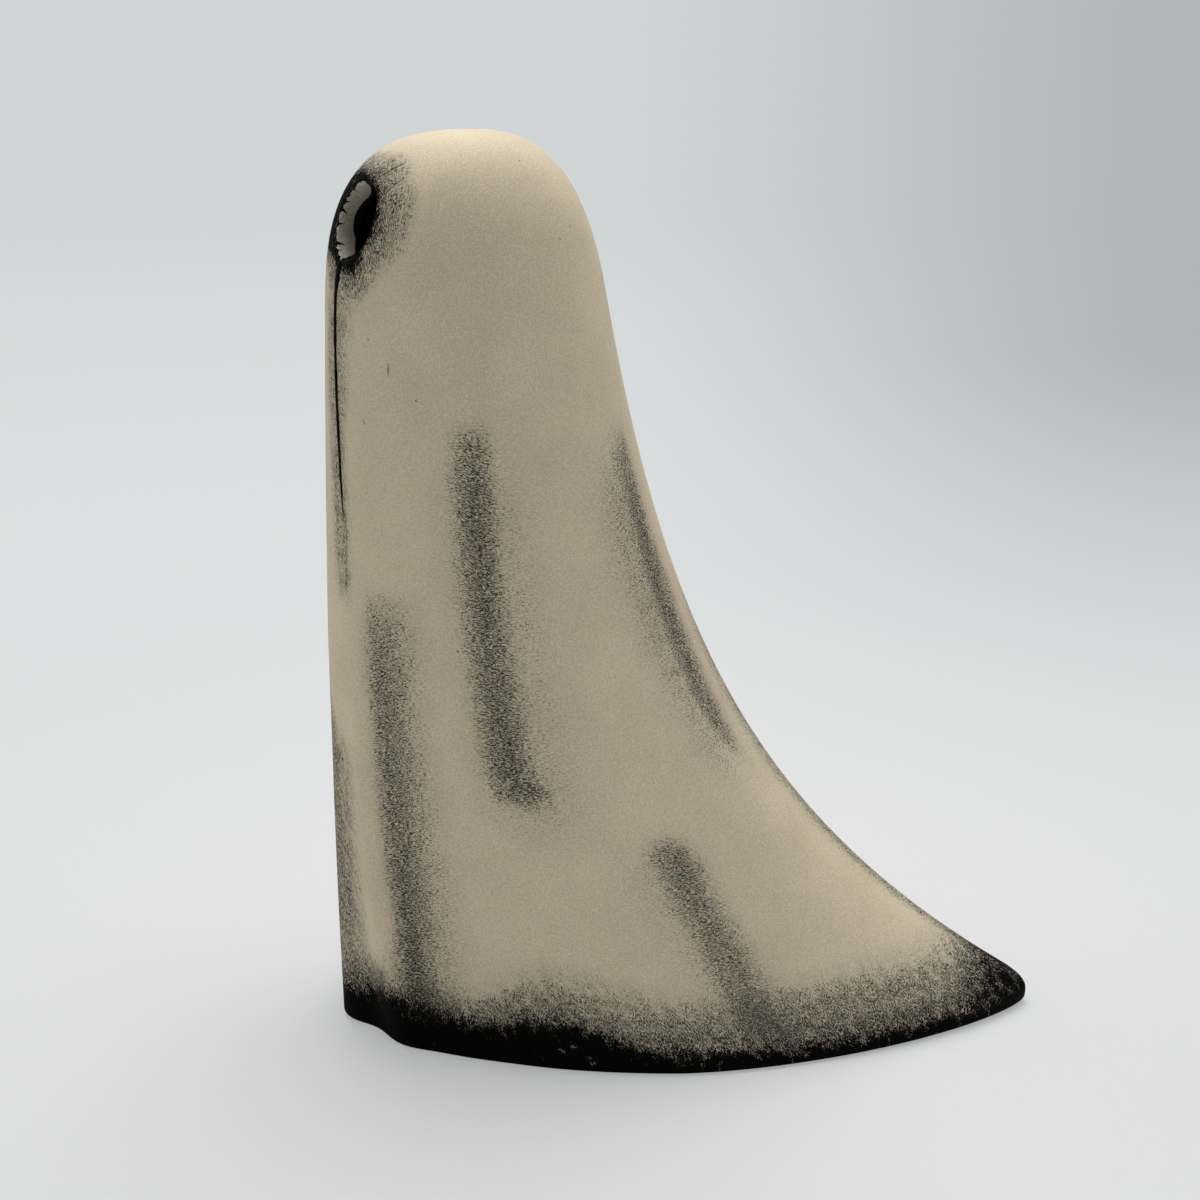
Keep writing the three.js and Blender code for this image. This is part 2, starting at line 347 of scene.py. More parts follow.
@dataclass(frozen=True)
class EyeHole:
    """An upright egg-shaped hole, cut square to the surface, with a flat frame at its middle.

    The frame's axes run across the eye towards greater bearings, up it, and straight out of it.
    """

    side: Side
    form: ClothForm
    bearing: float = 33.5
    below_crown: float = 9.3
    length: float = 9.4
    width: float = 7.6
    egg: float = 0.12
    rounds: int = 12
    probe: float = 0.01
    rough_slopes: Pair = (0.9, 4.0)

    @property
    def middle(self) -> Pair:
        """Height and signed bearing of the eye's middle."""
        return self.form.height - self.below_crown, self.side.value * self.bearing

    @property
    def label(self) -> str:
        """The eye's side, for the names of its pieces."""
        return self.side.name.lower()

    def turned(self, turn: Grid) -> Grid:
        """Angles round the eye, told as on the left one."""
        return turn if self.side is Side.LEFT else np.pi - turn

    def axes(self) -> tuple[Grid, Grid]:
        """The eye's middle, and its three axes as rows: across, up and outward.

        Returns:
            A point and a 3 by 3 grid.
        """
        height, bearing = (np.array(value) for value in self.middle)
        outward = self.form.normal(height, bearing)
        across = unit(np.cross([0.0, 0.0, 1.0], outward))
        return self.form.point(height, bearing), np.stack([across, np.cross(outward, across), outward])

    def flat(self, places: Grid) -> Grid:
        """Points in the eye's own frame: how far across, up and out of it they lie."""
        centre, axes = self.axes()
        return (places - centre) @ axes.T

    def solid(self, across: Grid, up: Grid, out: Grid) -> Grid:
        """Points of the figure from their places in the eye's own frame."""
        centre, axes = self.axes()
        return centre + np.stack([across, up, out], axis=-1) @ axes

    def outline(self, turn: Grid, margin: float | Grid = 0.0) -> tuple[Grid, Grid]:
        """The egg outline widened by a margin: an ellipse, broader above the middle than below.

        Args:
            turn: Angles round the egg, from its side of greater bearings and over the top.
            margin: How far outside the egg the outline lies.

        Returns:
            Places across and up the eye.
        """
        broad = 1.0 + self.egg * np.sin(turn)
        across = (self.width / 2.0 + margin) * broad * np.cos(turn)
        return across, (self.length / 2.0 + margin) * np.sin(turn)

    def rim_distances(self, turn: Grid) -> Grid:
        """Distances round the rim from the first of the given angles."""
        steps = np.linalg.norm(np.diff(np.stack(self.outline(turn), axis=-1), axis=0), axis=-1)
        return np.append(0.0, np.cumsum(steps))

    def outside_distance(self, across: Grid, up: Grid) -> Grid:
        """Rough distance outside the egg outline, negative inside it, in millimetres.

        Args:
            across: Places across the eye.
            up: Places up the eye.

        Returns:
            The distances.
        """
        broad = 1.0 + self.egg * np.clip(up / (self.length / 2.0), -1.0, 1.0)
        share = np.hypot(across / (self.width / 2.0 * broad), up / (self.length / 2.0))
        return (share - 1.0) * (self.width + self.length) / 4.0

    def locate(self, across: Grid, up: Grid, wall: float) -> tuple[Grid, Grid]:
        """Height and bearing of the surface points that lie straight behind points of the frame.

        Newton's method on both coordinates at once, with slopes taken over a small step.

        Args:
            across: Places across the eye.
            up: Places up the eye.
            wall: Which surface to meet, by its distance inside the outer one.

        Returns:
            Heights and bearings.
        """
        height, bearing = (start + slope * along for start, slope, along
                           in zip(self.middle, self.rough_slopes, (up, across)))
        for _ in range(self.rounds):
            here = self.flat(self.form.point(height, bearing, wall))
            higher = (self.flat(self.form.point(height + self.probe, bearing, wall)) - here) / self.probe
            further = (self.flat(self.form.point(height, bearing + self.probe, wall)) - here) / self.probe
            miss_across, miss_up = across - here[..., 0], up - here[..., 1]
            scale = higher[..., 0] * further[..., 1] - higher[..., 1] * further[..., 0]
            height = height + (miss_across * further[..., 1] - miss_up * further[..., 0]) / scale
            bearing = bearing + (miss_up * higher[..., 0] - miss_across * higher[..., 1]) / scale
        return height, bearing


@dataclass(frozen=True)
class ClothRuler:
    """Distances along the outside: round it from the front, and up it from the hem."""

    heights: Grid
    bearings: Grid
    tables: tuple[Grid, Grid]

    @classmethod
    def along(cls, form: ClothForm, heights: Grid, bearings: Grid) -> "ClothRuler":
        """Sums the steps between the points of a grid, round each row and up each column.

        Args:
            form: The surface.
            heights: Rising heights of the rows.
            bearings: Rising bearings of the columns, evenly spaced, with 0 in their middle.

        Returns:
            The ruler.
        """
        places = form.point(heights[:, None], bearings[None, :])
        around, upward = (np.linalg.norm(np.diff(places, axis=axis), axis=-1) for axis in (1, 0))
        girth = np.pad(np.cumsum(around, axis=1), ((0, 0), (1, 0)))
        rise = np.pad(np.cumsum(upward, axis=0), ((1, 0), (0, 0)))
        return cls(heights, bearings, (girth - girth[:, [bearings.size // 2]], rise))

    def read(self, height: Grid, bearing: Grid) -> list[Grid]:
        """Girth and rise at any height and bearing, interpolated between the grid's points.

        Args:
            height: Heights of the points.
            bearing: Their bearings.

        Returns:
            Distances round the cloth and up it.
        """
        row = np.interp(height, self.heights, np.arange(self.heights.size, dtype=float))
        column = np.interp(bearing, self.bearings, np.arange(self.bearings.size, dtype=float))
        low_row = np.minimum(row.astype(int), self.heights.size - 2)
        low_column = np.minimum(column.astype(int), self.bearings.size - 2)
        up, over = row - low_row, column - low_column
        ways = [(low_row + rows, low_column + columns, (up if rows else 1.0 - up)
                 * (over if columns else 1.0 - over)) for rows in (0, 1) for columns in (0, 1)]
        return [sum(table[at_row, at_column] * share for at_row, at_column, share in ways)
                for table in self.tables]


class MeshDraft:
    """Points and faces gathered for one mesh, with values that its material reads.

    The values are kept at the corners of faces, so a pattern can end on one side of a seam and
    start afresh on the other. The points on both sides of the seam are welded into one.
    """

    def __init__(self, shift: float = 0.0) -> None:
        """Starts an empty draft, whose points will be moved along Y by the shift."""
        self.shift = shift
        self.places: list[Grid] = []
        self.welded: list[Index] = []
        self.values: dict[str, list[Grid]] = {}
        self.faces: dict[int, list[Index]] = {4: [], 3: []}
        self.count = 0

    def add_points(self, places: Grid, **values: Grid | float) -> Index:
        """Adds points, with each named value given for all of them or for each.

        Args:
            places: Points in millimetres, in any layout.
            values: Numbers that the material reads, by name.

        Returns:
            The index of each point, in the same layout.
        """
        shape = places.shape[:-1]
        indices = self.count + np.arange(int(np.prod(shape))).reshape(shape)
        for name in values:
            self.values.setdefault(name, [np.zeros(self.count)])
        for name, parts in self.values.items():
            parts.append(np.broadcast_to(np.asarray(values.get(name, 0.0), float), shape).reshape(-1))
        self.places.append(places.reshape(-1, 3))
        self.welded.append(indices.reshape(-1).copy())
        self.count += indices.size
        return indices

    def add_rings(self, places: Grid, **values: Grid | float) -> Index:
        """Adds one or more rings of points, each welded where its last point meets its first.

        Args:
            places: Points, each ring's last at its first again.
            values: Numbers that the material reads.

        Returns:
            The index of each point.
        """
        indices = self.add_points(places, **values)
        self.welded[-1].reshape(indices.shape)[..., -1] = indices[..., 0]
        return indices

    def add_faces(self, *corners: Index, turned: bool = False) -> None:
        """Adds a face for each place in three or four runs of corners, anticlockwise from outside."""
        faces = np.stack(corners, axis=-1).reshape(-1, len(corners))
        self.faces[len(corners)].append(faces[:, ::-1] if turned else faces)

    def add_grid(self, indices: Index, left_out: NDArray[np.bool_] | None = None,
                 turned: bool = False) -> None:
        """Adds a face for each cell of a grid of points, except the cells left out.

        Args:
            indices: The grid's points.
            left_out: Which cells to leave out.
            turned: Whether the faces are turned over.
        """
        corners = (indices[:-1, :-1], indices[:-1, 1:], indices[1:, 1:], indices[1:, :-1])
        if left_out is not None:
            corners = tuple(corner[~left_out] for corner in corners)
        self.add_faces(*corners, turned=turned)

    def add_stitch(self, fine: Index, coarse: Index, turned: bool = False) -> None:
        """Joins a run of points to one with half as many steps, by three triangles a step.

        Args:
            fine: The run with more points.
            coarse: The run with fewer.
            turned: Whether the faces are turned over.
        """
        first, second, third = fine[:-2:2], fine[1:-1:2], fine[2::2]
        start, end = coarse[:-1], coarse[1:]
        for corners in ((first, second, start), (second, end, start), (second, third, end)):
            self.add_faces(*corners, turned=turned)

    def close(self, ring: Index, place: Grid, turned: bool = False, **values: Grid | float) -> None:
        """Closes a ring of points to one new point, which has its own values."""
        peak = self.add_points(place[None], **values)
        self.add_faces(ring[:-1], ring[1:], np.repeat(peak, ring.size - 1), turned=turned)

    def add_tube(self, rings: Grid, first: Grid, last: Grid) -> None:
        """Adds a closed surface of rings from a first point to a last one.

        Args:
            rings: Points of the rings.
            first: The point that closes the first ring.
            last: The point that closes the last ring.
        """
        indices = self.add_rings(rings)
        self.add_grid(indices)
        self.close(indices[0], first, turned=True)
        self.close(indices[-1], last)

    def add_run(self, path: Grid, outward: Grid, half_width: Grid, thickness: Grid, sides: int = 12,
                sunk: float = 0.45) -> None:
        """Adds a run of thick paint, lens-shaped in section and pointed at both ends.

        A point of it is its path, plus the half width times cos(a) across the run, plus the
        thickness times sin(a) out of the surface, and a share of that on the underside.

        Args:
            path: Points along the run, from one tip to the other.
            outward: Directions out of the surface at those points.
            half_width: Half widths at those points.
            thickness: Thicknesses at those points.
            sides: Number of points round it.
            sunk: Share of the thickness that its underside is sunk by.
        """
        across = unit(np.cross(outward, unit(np.gradient(path, axis=0))))
        turn = np.linspace(0.0, TURN, sides + 1)
        lift = np.sin(turn) * np.where(np.sin(turn) > 0.0, 1.0, sunk)
        rings = (path[:, None] + across[:, None] * (half_width[:, None] * np.cos(turn))[..., None]
                 + outward[:, None] * (thickness[:, None] * lift)[..., None])
        self.add_tube(rings[1:-1], path[0], path[-1])

    def to_object(self, name: str, finish: Material, held: bool = False) -> Piece:
        """Writes the draft as a smooth mesh in metres, without the points that no face uses.

        Args:
            name: Name of the object and its mesh.
            finish: Its material.
            held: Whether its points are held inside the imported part's box.

        Returns:
            The new object, at the origin and linked to the scene.
        """
        sizes = [size for size in self.faces if self.faces[size]]
        blocks = [np.concatenate(self.faces[size]) for size in sizes]
        corners = np.concatenate([block.reshape(-1) for block in blocks])
        totals = np.concatenate([np.full(len(block), size) for block, size in zip(blocks, sizes)])
        used, compact = np.unique(np.concatenate(self.welded)[corners], return_inverse=True)
        places = (np.concatenate(self.places)[used] + [0.0, self.shift, 0.0]) * MM
        if held:
            places = np.clip(places, CAD_LOW, CAD_HIGH)
        mesh = bpy.data.meshes.new(name)
        mesh.vertices.add(used.size)
        mesh.vertices.foreach_set("co", places.astype(np.float32).reshape(-1))
        mesh.loops.add(corners.size)
        mesh.loops.foreach_set("vertex_index", compact.astype(np.int32).reshape(-1))
        mesh.polygons.add(totals.size)
        mesh.polygons.foreach_set("loop_start", (np.cumsum(totals) - totals).astype(np.int32))
        mesh.polygons.foreach_set("use_smooth", np.ones(totals.size, bool))
        mesh.update(calc_edges=True)
        if mesh.validate(verbose=False):
            logging.warning("%s had faces that were not valid", name)
        for label, parts in self.values.items():
            attribute = mesh.attributes.new(label, "FLOAT", "CORNER")
            attribute.data.foreach_set("value", np.concatenate(parts)[corners].astype(np.float32))
        mesh.materials.append(finish)
        made = bpy.data.objects.new(name, mesh)
        bpy.context.scene.collection.objects.link(made)
        return made


class NodeSheet:
    """The shader nodes of one material, or of the world."""

    def __init__(self, owner: Material | bpy.types.World) -> None:
        """Starts the owner's nodes afresh."""
        self.owner = owner
        owner.use_nodes = True
        owner.node_tree.nodes.clear()

    @classmethod
    def on_material(cls, name: str) -> "NodeSheet":
        """A sheet for a new material."""
        return cls(bpy.data.materials.new(name))

    def add(self, kind: str, feeds: dict[int | str, object] | None = None, **settings: object) -> Node:
        """Adds a node, sets its properties, and links or sets its inputs.

        Args:
            kind: The node's kind, without the words that all shader nodes' kinds start with.
            feeds: An output or a constant for each input, by name or place.
            settings: The node's properties.

        Returns:
            The node.
        """
        node = self.owner.node_tree.nodes.new("ShaderNode" + kind)
        for name, value in settings.items():
            setattr(node, name, value)
        for place, value in (feeds or {}).items():
            if isinstance(value, Socket):
                self.owner.node_tree.links.new(value, node.inputs[place])
            else:
                node.inputs[place].default_value = (*value, 1.0) if isinstance(value, tuple) else value
        return node

    def coordinates(self) -> Socket:
        """Object coordinates, in metres."""
        return self.add("TexCoord").outputs["Object"]

    def attribute(self, name: str) -> Socket:
        """A number kept on the mesh."""
        return self.add("Attribute", attribute_name=name).outputs["Fac"]

    def math(self, operation: str, *values: object) -> Socket:
        """A sum, product or other operation on numbers."""
        return self.add("Math", dict(enumerate(values)), operation=operation).outputs[0]

    def blend(self, first: object, share: object, second: object, share_of_second: object) -> Socket:
        """The sum of two numbers, each times its share."""
        return self.math("MULTIPLY_ADD", first, share, self.math("MULTIPLY", second, share_of_second))

    def vector(self, x: object, y: object) -> Socket:
        """A flat vector from two numbers."""
        return self.add("CombineXYZ", {0: x, 1: y}).outputs[0]

    def noise(self, place: object, scale: float, detail: float = 2.0, roughness: float = 0.5,
              distortion: float = 0.0) -> Socket:
        """Cloudy noise round a half, with features one over the scale in size.

        Args:
            place: Coordinates.
            scale: Features to one unit of the coordinates.
            detail: How many finer layers it has.
            roughness: How strong the finer layers are.
            distortion: How far it is swirled.

        Returns:
            The noise.
        """
        feeds = {"Vector": place, "Scale": scale, "Detail": detail, "Roughness": roughness,
                 "Distortion": distortion}
        return self.add("TexNoise", feeds, noise_dimensions="3D").outputs["Fac"]

    def ramp(self, value: object, low: float, high: float, to_low: float = 0.0, to_high: float = 1.0,
             kind: str = "SMOOTHSTEP") -> Socket:
        """A value carried from one range to another and held at its ends."""
        feeds = dict(enumerate((value, low, high, to_low, to_high)))
        return self.add("MapRange", feeds, interpolation_type=kind, clamp=True).outputs["Result"]

    def mix(self, share: object, first: object, second: object) -> Socket:
        """A blend of two colours."""
        return self.add("Mix", {0: share, 6: first, 7: second}, data_type="RGBA").outputs[2]

    def bump(self, height: object, distance: float, strength: float) -> Socket:
        """A surface direction from a height, where 1 stands for the distance in millimetres."""
        feeds = {"Strength": strength, "Distance": distance * MM, "Height": height}
        return self.add("Bump", feeds).outputs["Normal"]

    def finish(self, **sockets: object) -> Material:
        """Ends the material in one Principled shader, whose sockets are given by name.

        Args:
            sockets: An output or a constant for each, with low lines for the spaces.

        Returns:
            The material.
        """
        feeds = {name.replace("_", " "): value for name, value in sockets.items()}
        shader = self.add("BsdfPrincipled", feeds)
        self.add("OutputMaterial", {"Surface": shader.outputs[0]})
        return self.owner

    def finish_blended(self, output: str, share: object, first: Node, second: Node) -> None:
        """Ends the sheet in a blend of two shaders."""
        feeds = {0: share, 1: first.outputs[0], 2: second.outputs[0]}
        self.add(output, {"Surface": self.add("MixShader", feeds).outputs[0]})

    def seen(self) -> Socket:
        """1 for the camera's own rays, and 0 for the light that falls on things."""
        return self.add("LightPath").outputs["Is Camera Ray"]


@dataclass(frozen=True)
class RimNotch:
    """A pointed tongue of paint on the cut wall of an eye.

    Its root and tip are distances round the rim, from the side away from the face and over the
    top, and its length is how far down the wall it reaches.
    """

    root: float
    tip: float
    length: float
    half_width: float


@dataclass(frozen=True)
class BrushMarks:
    """How a dry brush's paint breaks up into marks.

    A tuft is the size of the clumps along and across the bristles, in millimetres, and uneven
    is how much thinner or thicker than the rest they are.
    """

    load: str
    tuft: Pair
    uneven: float
    streak: Pair = (0.5, 0.12)
    speck_scale: float = 5.5
    contrast: Pair = (0.38, 0.62)
    streak_share: float = 0.6
    power: float = 3.0
    gain: float = 6.4
    least: float = 0.17
    closes: Pair = (0.8, 1.6)
    open_share: float = 0.92

    def share(self, sheet: NodeSheet, along: Socket, across: Socket) -> Socket:
        """Share of paint, from its thickness broken up by streaks, specks and thicker clumps.

        The thickness is multiplied by noise whose cube is skewed to the thin side, so thin
        paint is a few fine marks, and thick paint closes up to leave a few fine gaps.

        Args:
            sheet: The material's nodes.
            along: Distance along the bristles, in millimetres.
            across: Distance across the bristles, in millimetres.

        Returns:
            A share from 0 to 1.
        """
        load = sheet.attribute(self.load)
        drawn, clumped = (sheet.vector(sheet.math("DIVIDE", along, size[0]),
                                       sheet.math("DIVIDE", across, size[1]))
                          for size in (self.streak, self.tuft))
        specks = sheet.noise(sheet.vector(along, across), self.speck_scale, 2.0, 0.7)
        streaks, specks = (sheet.ramp(grain, *self.contrast, kind="LINEAR")
                           for grain in (sheet.noise(drawn, 1.0, 2.0, 0.6, 0.2), specks))
        clumps = sheet.ramp(sheet.noise(clumped, 1.0, 2.0, 0.6), 0.3, 0.7, 1.0 - self.uneven,
                            1.0 + self.uneven)
        broken = sheet.blend(streaks, self.streak_share, specks, 1.0 - self.streak_share)
        gain = sheet.math("MULTIPLY_ADD", sheet.math("POWER", broken, self.power), self.gain, self.least)
        share = sheet.math("MULTIPLY", sheet.math("MULTIPLY", load, clumps), gain)
        return sheet.math("MINIMUM", share, sheet.ramp(load, *self.closes, self.open_share, 1.0))


@dataclass(frozen=True)
class BonePaint:
    """Sprayed matte bone colour with a fine grain, under black paint dragged on with a dry brush.

    The mesh gives how thick the paint lies at each place, and noise drawn out along the bristles
    breaks it up into marks. Deep in the eye holes the cut wall is darkened by painted shade.
    """

    rim_length: float
    bone: Colour = (0.72, 0.627, 0.462)
    shaded_bone: Colour = (0.56, 0.483, 0.35)
    cut_wall: Colour = (0.66, 0.60, 0.49)
    # The cut wall's dark grain colour, which is also the colour of its painted shade deep in the hole.
    cut_shade: Colour = (0.42, 0.36, 0.29)
    black: Colour = (0.0022, 0.0022, 0.0021)
    thin_black: Colour = (0.14, 0.15, 0.168)
    level_marks: BrushMarks = BrushMarks("stripe", (1.7, 1.6), 0.28)
    upright_marks: tuple[BrushMarks, ...] = (BrushMarks("hem", (2.4, 1.3), 0.5),
                                             BrushMarks("eye", (1.8, 1.1), 0.38))
    wander: float = 1.6
    wander_scale: float = 0.4
    level_lean: float = -0.22
    upright_lean: float = 0.3
    grain_scale: float = 5600.0
    grain_share: float = 0.8
    mottle_scale: float = 130.0
    grain_contrast: Pair = (0.38, 0.62)
    wall_contrast: Pair = (0.3, 0.7)
    # Painted shade on the cut wall: how far it reaches from the paint's limit, and how dark it gets.
    limit_reach: float = 1.2
    painted_recess_shade: float = 0.35
    limit_blur: float = 0.05
    roughness: Pair = (0.88, 0.7)
    shine: Pair = (0.24, 0.025)
    paint_height: float = 0.5
    relief: Pair = (0.035, 0.6)
    edge_scale: float = 3600.0
    edge_reach: float = 0.16
    edge_blur: float = 0.03
    shoulder: float = 0.6
    shoulder_reach: float = 0.25
    notches: tuple[RimNotch, ...] = (
        RimNotch(9.75, 10.16, 0.95, 0.09), RimNotch(10.83, 10.80, 0.55, 0.08),
        RimNotch(11.75, 11.41, 0.80, 0.16), RimNotch(12.54, 13.03, 1.10, 0.20),
        RimNotch(14.34, 14.09, 0.90, 0.17), RimNotch(16.63, 16.59, 1.25, 0.27),
        RimNotch(17.72, 17.35, 0.70, 0.16), RimNotch(18.50, 18.60, 0.45, 0.14),
    )

    def material(self, name: str) -> Material:
        """Builds the material, which reads the shell's own values and Object coordinates.

        Args:
            name: Name of the material.

        Returns:
            The material.
        """
        sheet = NodeSheet.on_material(name)
        place = sheet.coordinates()
        girth, rise, on_rim = (sheet.attribute(label) for label in ("girth", "rise", "on_rim"))
        wander = sheet.noise(sheet.vector(girth, rise), self.wander_scale)
        drift = sheet.math("MULTIPLY_ADD", wander, self.wander, -self.wander / 2.0)
        level, upright = (sheet.math("ADD", across, sheet.math("MULTIPLY_ADD", along, lean, drift))
                          for across, along, lean in ((rise, girth, self.level_lean),
                                                      (girth, rise, self.upright_lean)))
        paint = self.level_marks.share(sheet, girth, level)
        for marks in self.upright_marks:
            paint = sheet.math("MAXIMUM", paint, marks.share(sheet, rise, upright))
        off_rim = sheet.math("SUBTRACT", 1.0, on_rim)
        paint = sheet.blend(self.on_wall(sheet, place), on_rim, paint, off_rim)
        grain = sheet.noise(place, self.grain_scale, roughness=0.6)
        mottle = sheet.noise(place, self.mottle_scale, detail=3.0)
        tone = sheet.blend(grain, self.grain_share, mottle, 1.0 - self.grain_share)
        bone = sheet.mix(sheet.ramp(tone, *self.grain_contrast), self.shaded_bone, self.bone)
        past = sheet.math("SUBTRACT", sheet.attribute("rim_depth"), sheet.attribute("rim_limit"))
        wall = sheet.mix(sheet.ramp(grain, *self.wall_contrast), self.cut_shade, self.cut_wall)
        # Painted shade: the cut wall darkens towards the paint's limit, deep in the hole, where the recess
        # shades it.
        shade = sheet.ramp(past, -self.limit_reach, 0.0, 0.0, self.painted_recess_shade)
        wall = sheet.mix(shade, wall, self.cut_shade)
        wall = sheet.mix(sheet.ramp(past, -self.limit_blur, self.limit_blur), wall, self.black)
        film = sheet.mix(paint, self.thin_black, self.black)
        return sheet.finish(
            Base_Color=sheet.mix(paint, sheet.mix(on_rim, bone, wall), film),
            Roughness=sheet.ramp(paint, 0.0, 1.0, *self.roughness),
            Specular_IOR_Level=sheet.ramp(paint, 0.0, 1.0, *self.shine),
            Normal=sheet.bump(sheet.math("MULTIPLY_ADD", paint, self.paint_height, grain), *self.relief),
        )

    def on_wall(self, sheet: NodeSheet, place: Socket) -> Socket:
        """Paint on the cut wall of an eye: a ragged outer edge with pointed notches, and the foot.

        Each notch is a wedge, reach * (1 - distance / half width), beside the foot of a lower
        and wider one, where the distance is measured round the rim to the notch's slanting line.

        Args:
            sheet: The material's nodes.
            place: Object coordinates.

        Returns:
            A share from 0 to 1.
        """
        along, depth = sheet.attribute("rim_along"), sheet.attribute("rim_depth")
        reach = sheet.ramp(sheet.noise(place, self.edge_scale), 0.35, 0.7, 0.0, self.edge_reach)
        for notch in self.notches:
            slant = (notch.tip - notch.root) / notch.length
            line = sheet.math("MULTIPLY_ADD", depth, slant, notch.root)
            away = sheet.math("PINGPONG", sheet.math("SUBTRACT", along, line), self.rim_length / 2.0)
            for high, half in ((notch.length, notch.half_width), (self.shoulder_reach, self.shoulder)):
                wedge = sheet.math("MULTIPLY_ADD", away, -high / half, high)
                reach = sheet.math("MAXIMUM", reach, wedge)
        edge = sheet.math("SUBTRACT", reach, depth)
        return sheet.math("MAXIMUM", sheet.ramp(edge, -self.edge_blur, self.edge_blur),
                          sheet.attribute("pooled"))


@dataclass(frozen=True)
class CloudyFinish:
    """A plain finish of two colours, mixed by fine and coarse cloudy noise.

    The noise is given by its scale, detail, roughness and distortion, and the coarse share says
    how much of it counts in the colour and in the surface's relief. The relief is a height in
    millimetres and a strength.
    """

    dark: Colour
    pale: Colour
    fine: Sizes
    coarse: Sizes
    colour_share: float
    colour_range: Pair
    roughness: Pair
    relief_share: float
    relief: Pair
    shine: float
    sheen: float = 0.0

    def material(self, name: str) -> Material:
        """Builds the material from a fine and a coarse noise on Object coordinates.

        Args:
            name: Name of the material.

        Returns:
            The material.
        """
        sheet = NodeSheet.on_material(name)
        place = sheet.coordinates()
        fine, coarse = sheet.noise(place, *self.fine), sheet.noise(place, *self.coarse)
        tone, relief = (sheet.blend(fine, 1.0 - share, coarse, share)
                        for share in (self.colour_share, self.relief_share))
        return sheet.finish(
            Base_Color=sheet.mix(sheet.ramp(tone, *self.colour_range), self.dark, self.pale),
            Roughness=sheet.ramp(fine, 0.3, 0.7, *self.roughness),
            Specular_IOR_Level=self.shine,
            Sheen_Weight=self.sheen,
            Normal=sheet.bump(relief, *self.relief),
        )


def black_gloss(roughness: float = 0.5, shine: float = 0.03) -> CloudyFinish:
    """Thick black paint, faintly dusty, whose shallow waves soften its slight shine."""
    return CloudyFinish(dark=(0.0022, 0.0022, 0.0022), pale=(0.006, 0.006, 0.006), fine=(2600.0, 3.0),
                        coarse=(900.0, 1.0), colour_share=0.0, colour_range=(0.5, 0.75),
                        roughness=(roughness, roughness + 0.2), relief_share=1.0, relief=(0.02, 0.5),
                        shine=shine)


GREY_BOARD = CloudyFinish(
    dark=(0.085, 0.08, 0.075), pale=(0.15, 0.142, 0.132), fine=(1500.0, 4.0, 0.7, 1.5),
    coarse=(160.0, 2.0), colour_share=0.3, colour_range=(0.35, 0.65), roughness=(0.75, 0.92),
    relief_share=0.0, relief=(0.05, 0.5), shine=0.25)
BLACK_FELT = CloudyFinish(
    dark=(0.016, 0.016, 0.017), pale=(0.05, 0.05, 0.053), fine=(2400.0, 3.0, 0.75, 3.0),
    coarse=(420.0, 2.0), colour_share=0.25, colour_range=(0.35, 0.65), roughness=(0.9, 1.0),
    relief_share=0.25, relief=(0.12, 0.8), shine=0.1, sheen=0.25)


@dataclass(frozen=True)
class BrushStripe:
    """A dry stroke of the brush down the cloth, the same on both sides.

    Each row gives a height, the bearing of the stroke's middle, its cover, and its reaches
    towards the face and towards the train. The cover falls off as exp(-|distance / reach|^power).
    An arch lets the stroke's middle run up past its top.
    """

    rows: tuple[Sizes, ...]
    ease_foot: float = 3.0
    ease_top: float = 3.0
    power: float = 2.2
    arch: float = 0.0
    arch_reach: float = 5.0
    arch_ease: float = 0.4
    bristles: Bristles = Bristles.LEVEL

    def paint(self, height: Grid, girth: Grid, ruler: ClothRuler) -> Grid:
        """Share of the surface that the stroke covers.

        Args:
            height: Heights of the points.
            girth: Their distances round the cloth from the front.
            ruler: The cloth's ruler, which finds the girth of the stroke's middle.

        Returns:
            Cover from 0 to 1.
        """
        heights, *columns = zip(*self.rows)
        bearing, cover, face_reach, train_reach = (
            np.interp(height, heights, column) for column in columns)
        away = np.abs(girth) - ruler.read(height, bearing)[0]
        rise = self.arch * np.exp(-((away / self.arch_reach) ** 2))
        foot, top, ease_top = heights[0], heights[-1] + rise, self.ease_top + self.arch_ease * rise
        ends = (smoothstep(height, foot - self.ease_foot, foot + self.ease_foot)
                * (1.0 - smoothstep(height, top - ease_top, top + ease_top)))
        reach = np.where(away < 0.0, face_reach, train_reach)
        return cover * ends * np.exp(-(np.abs(away / reach) ** self.power))


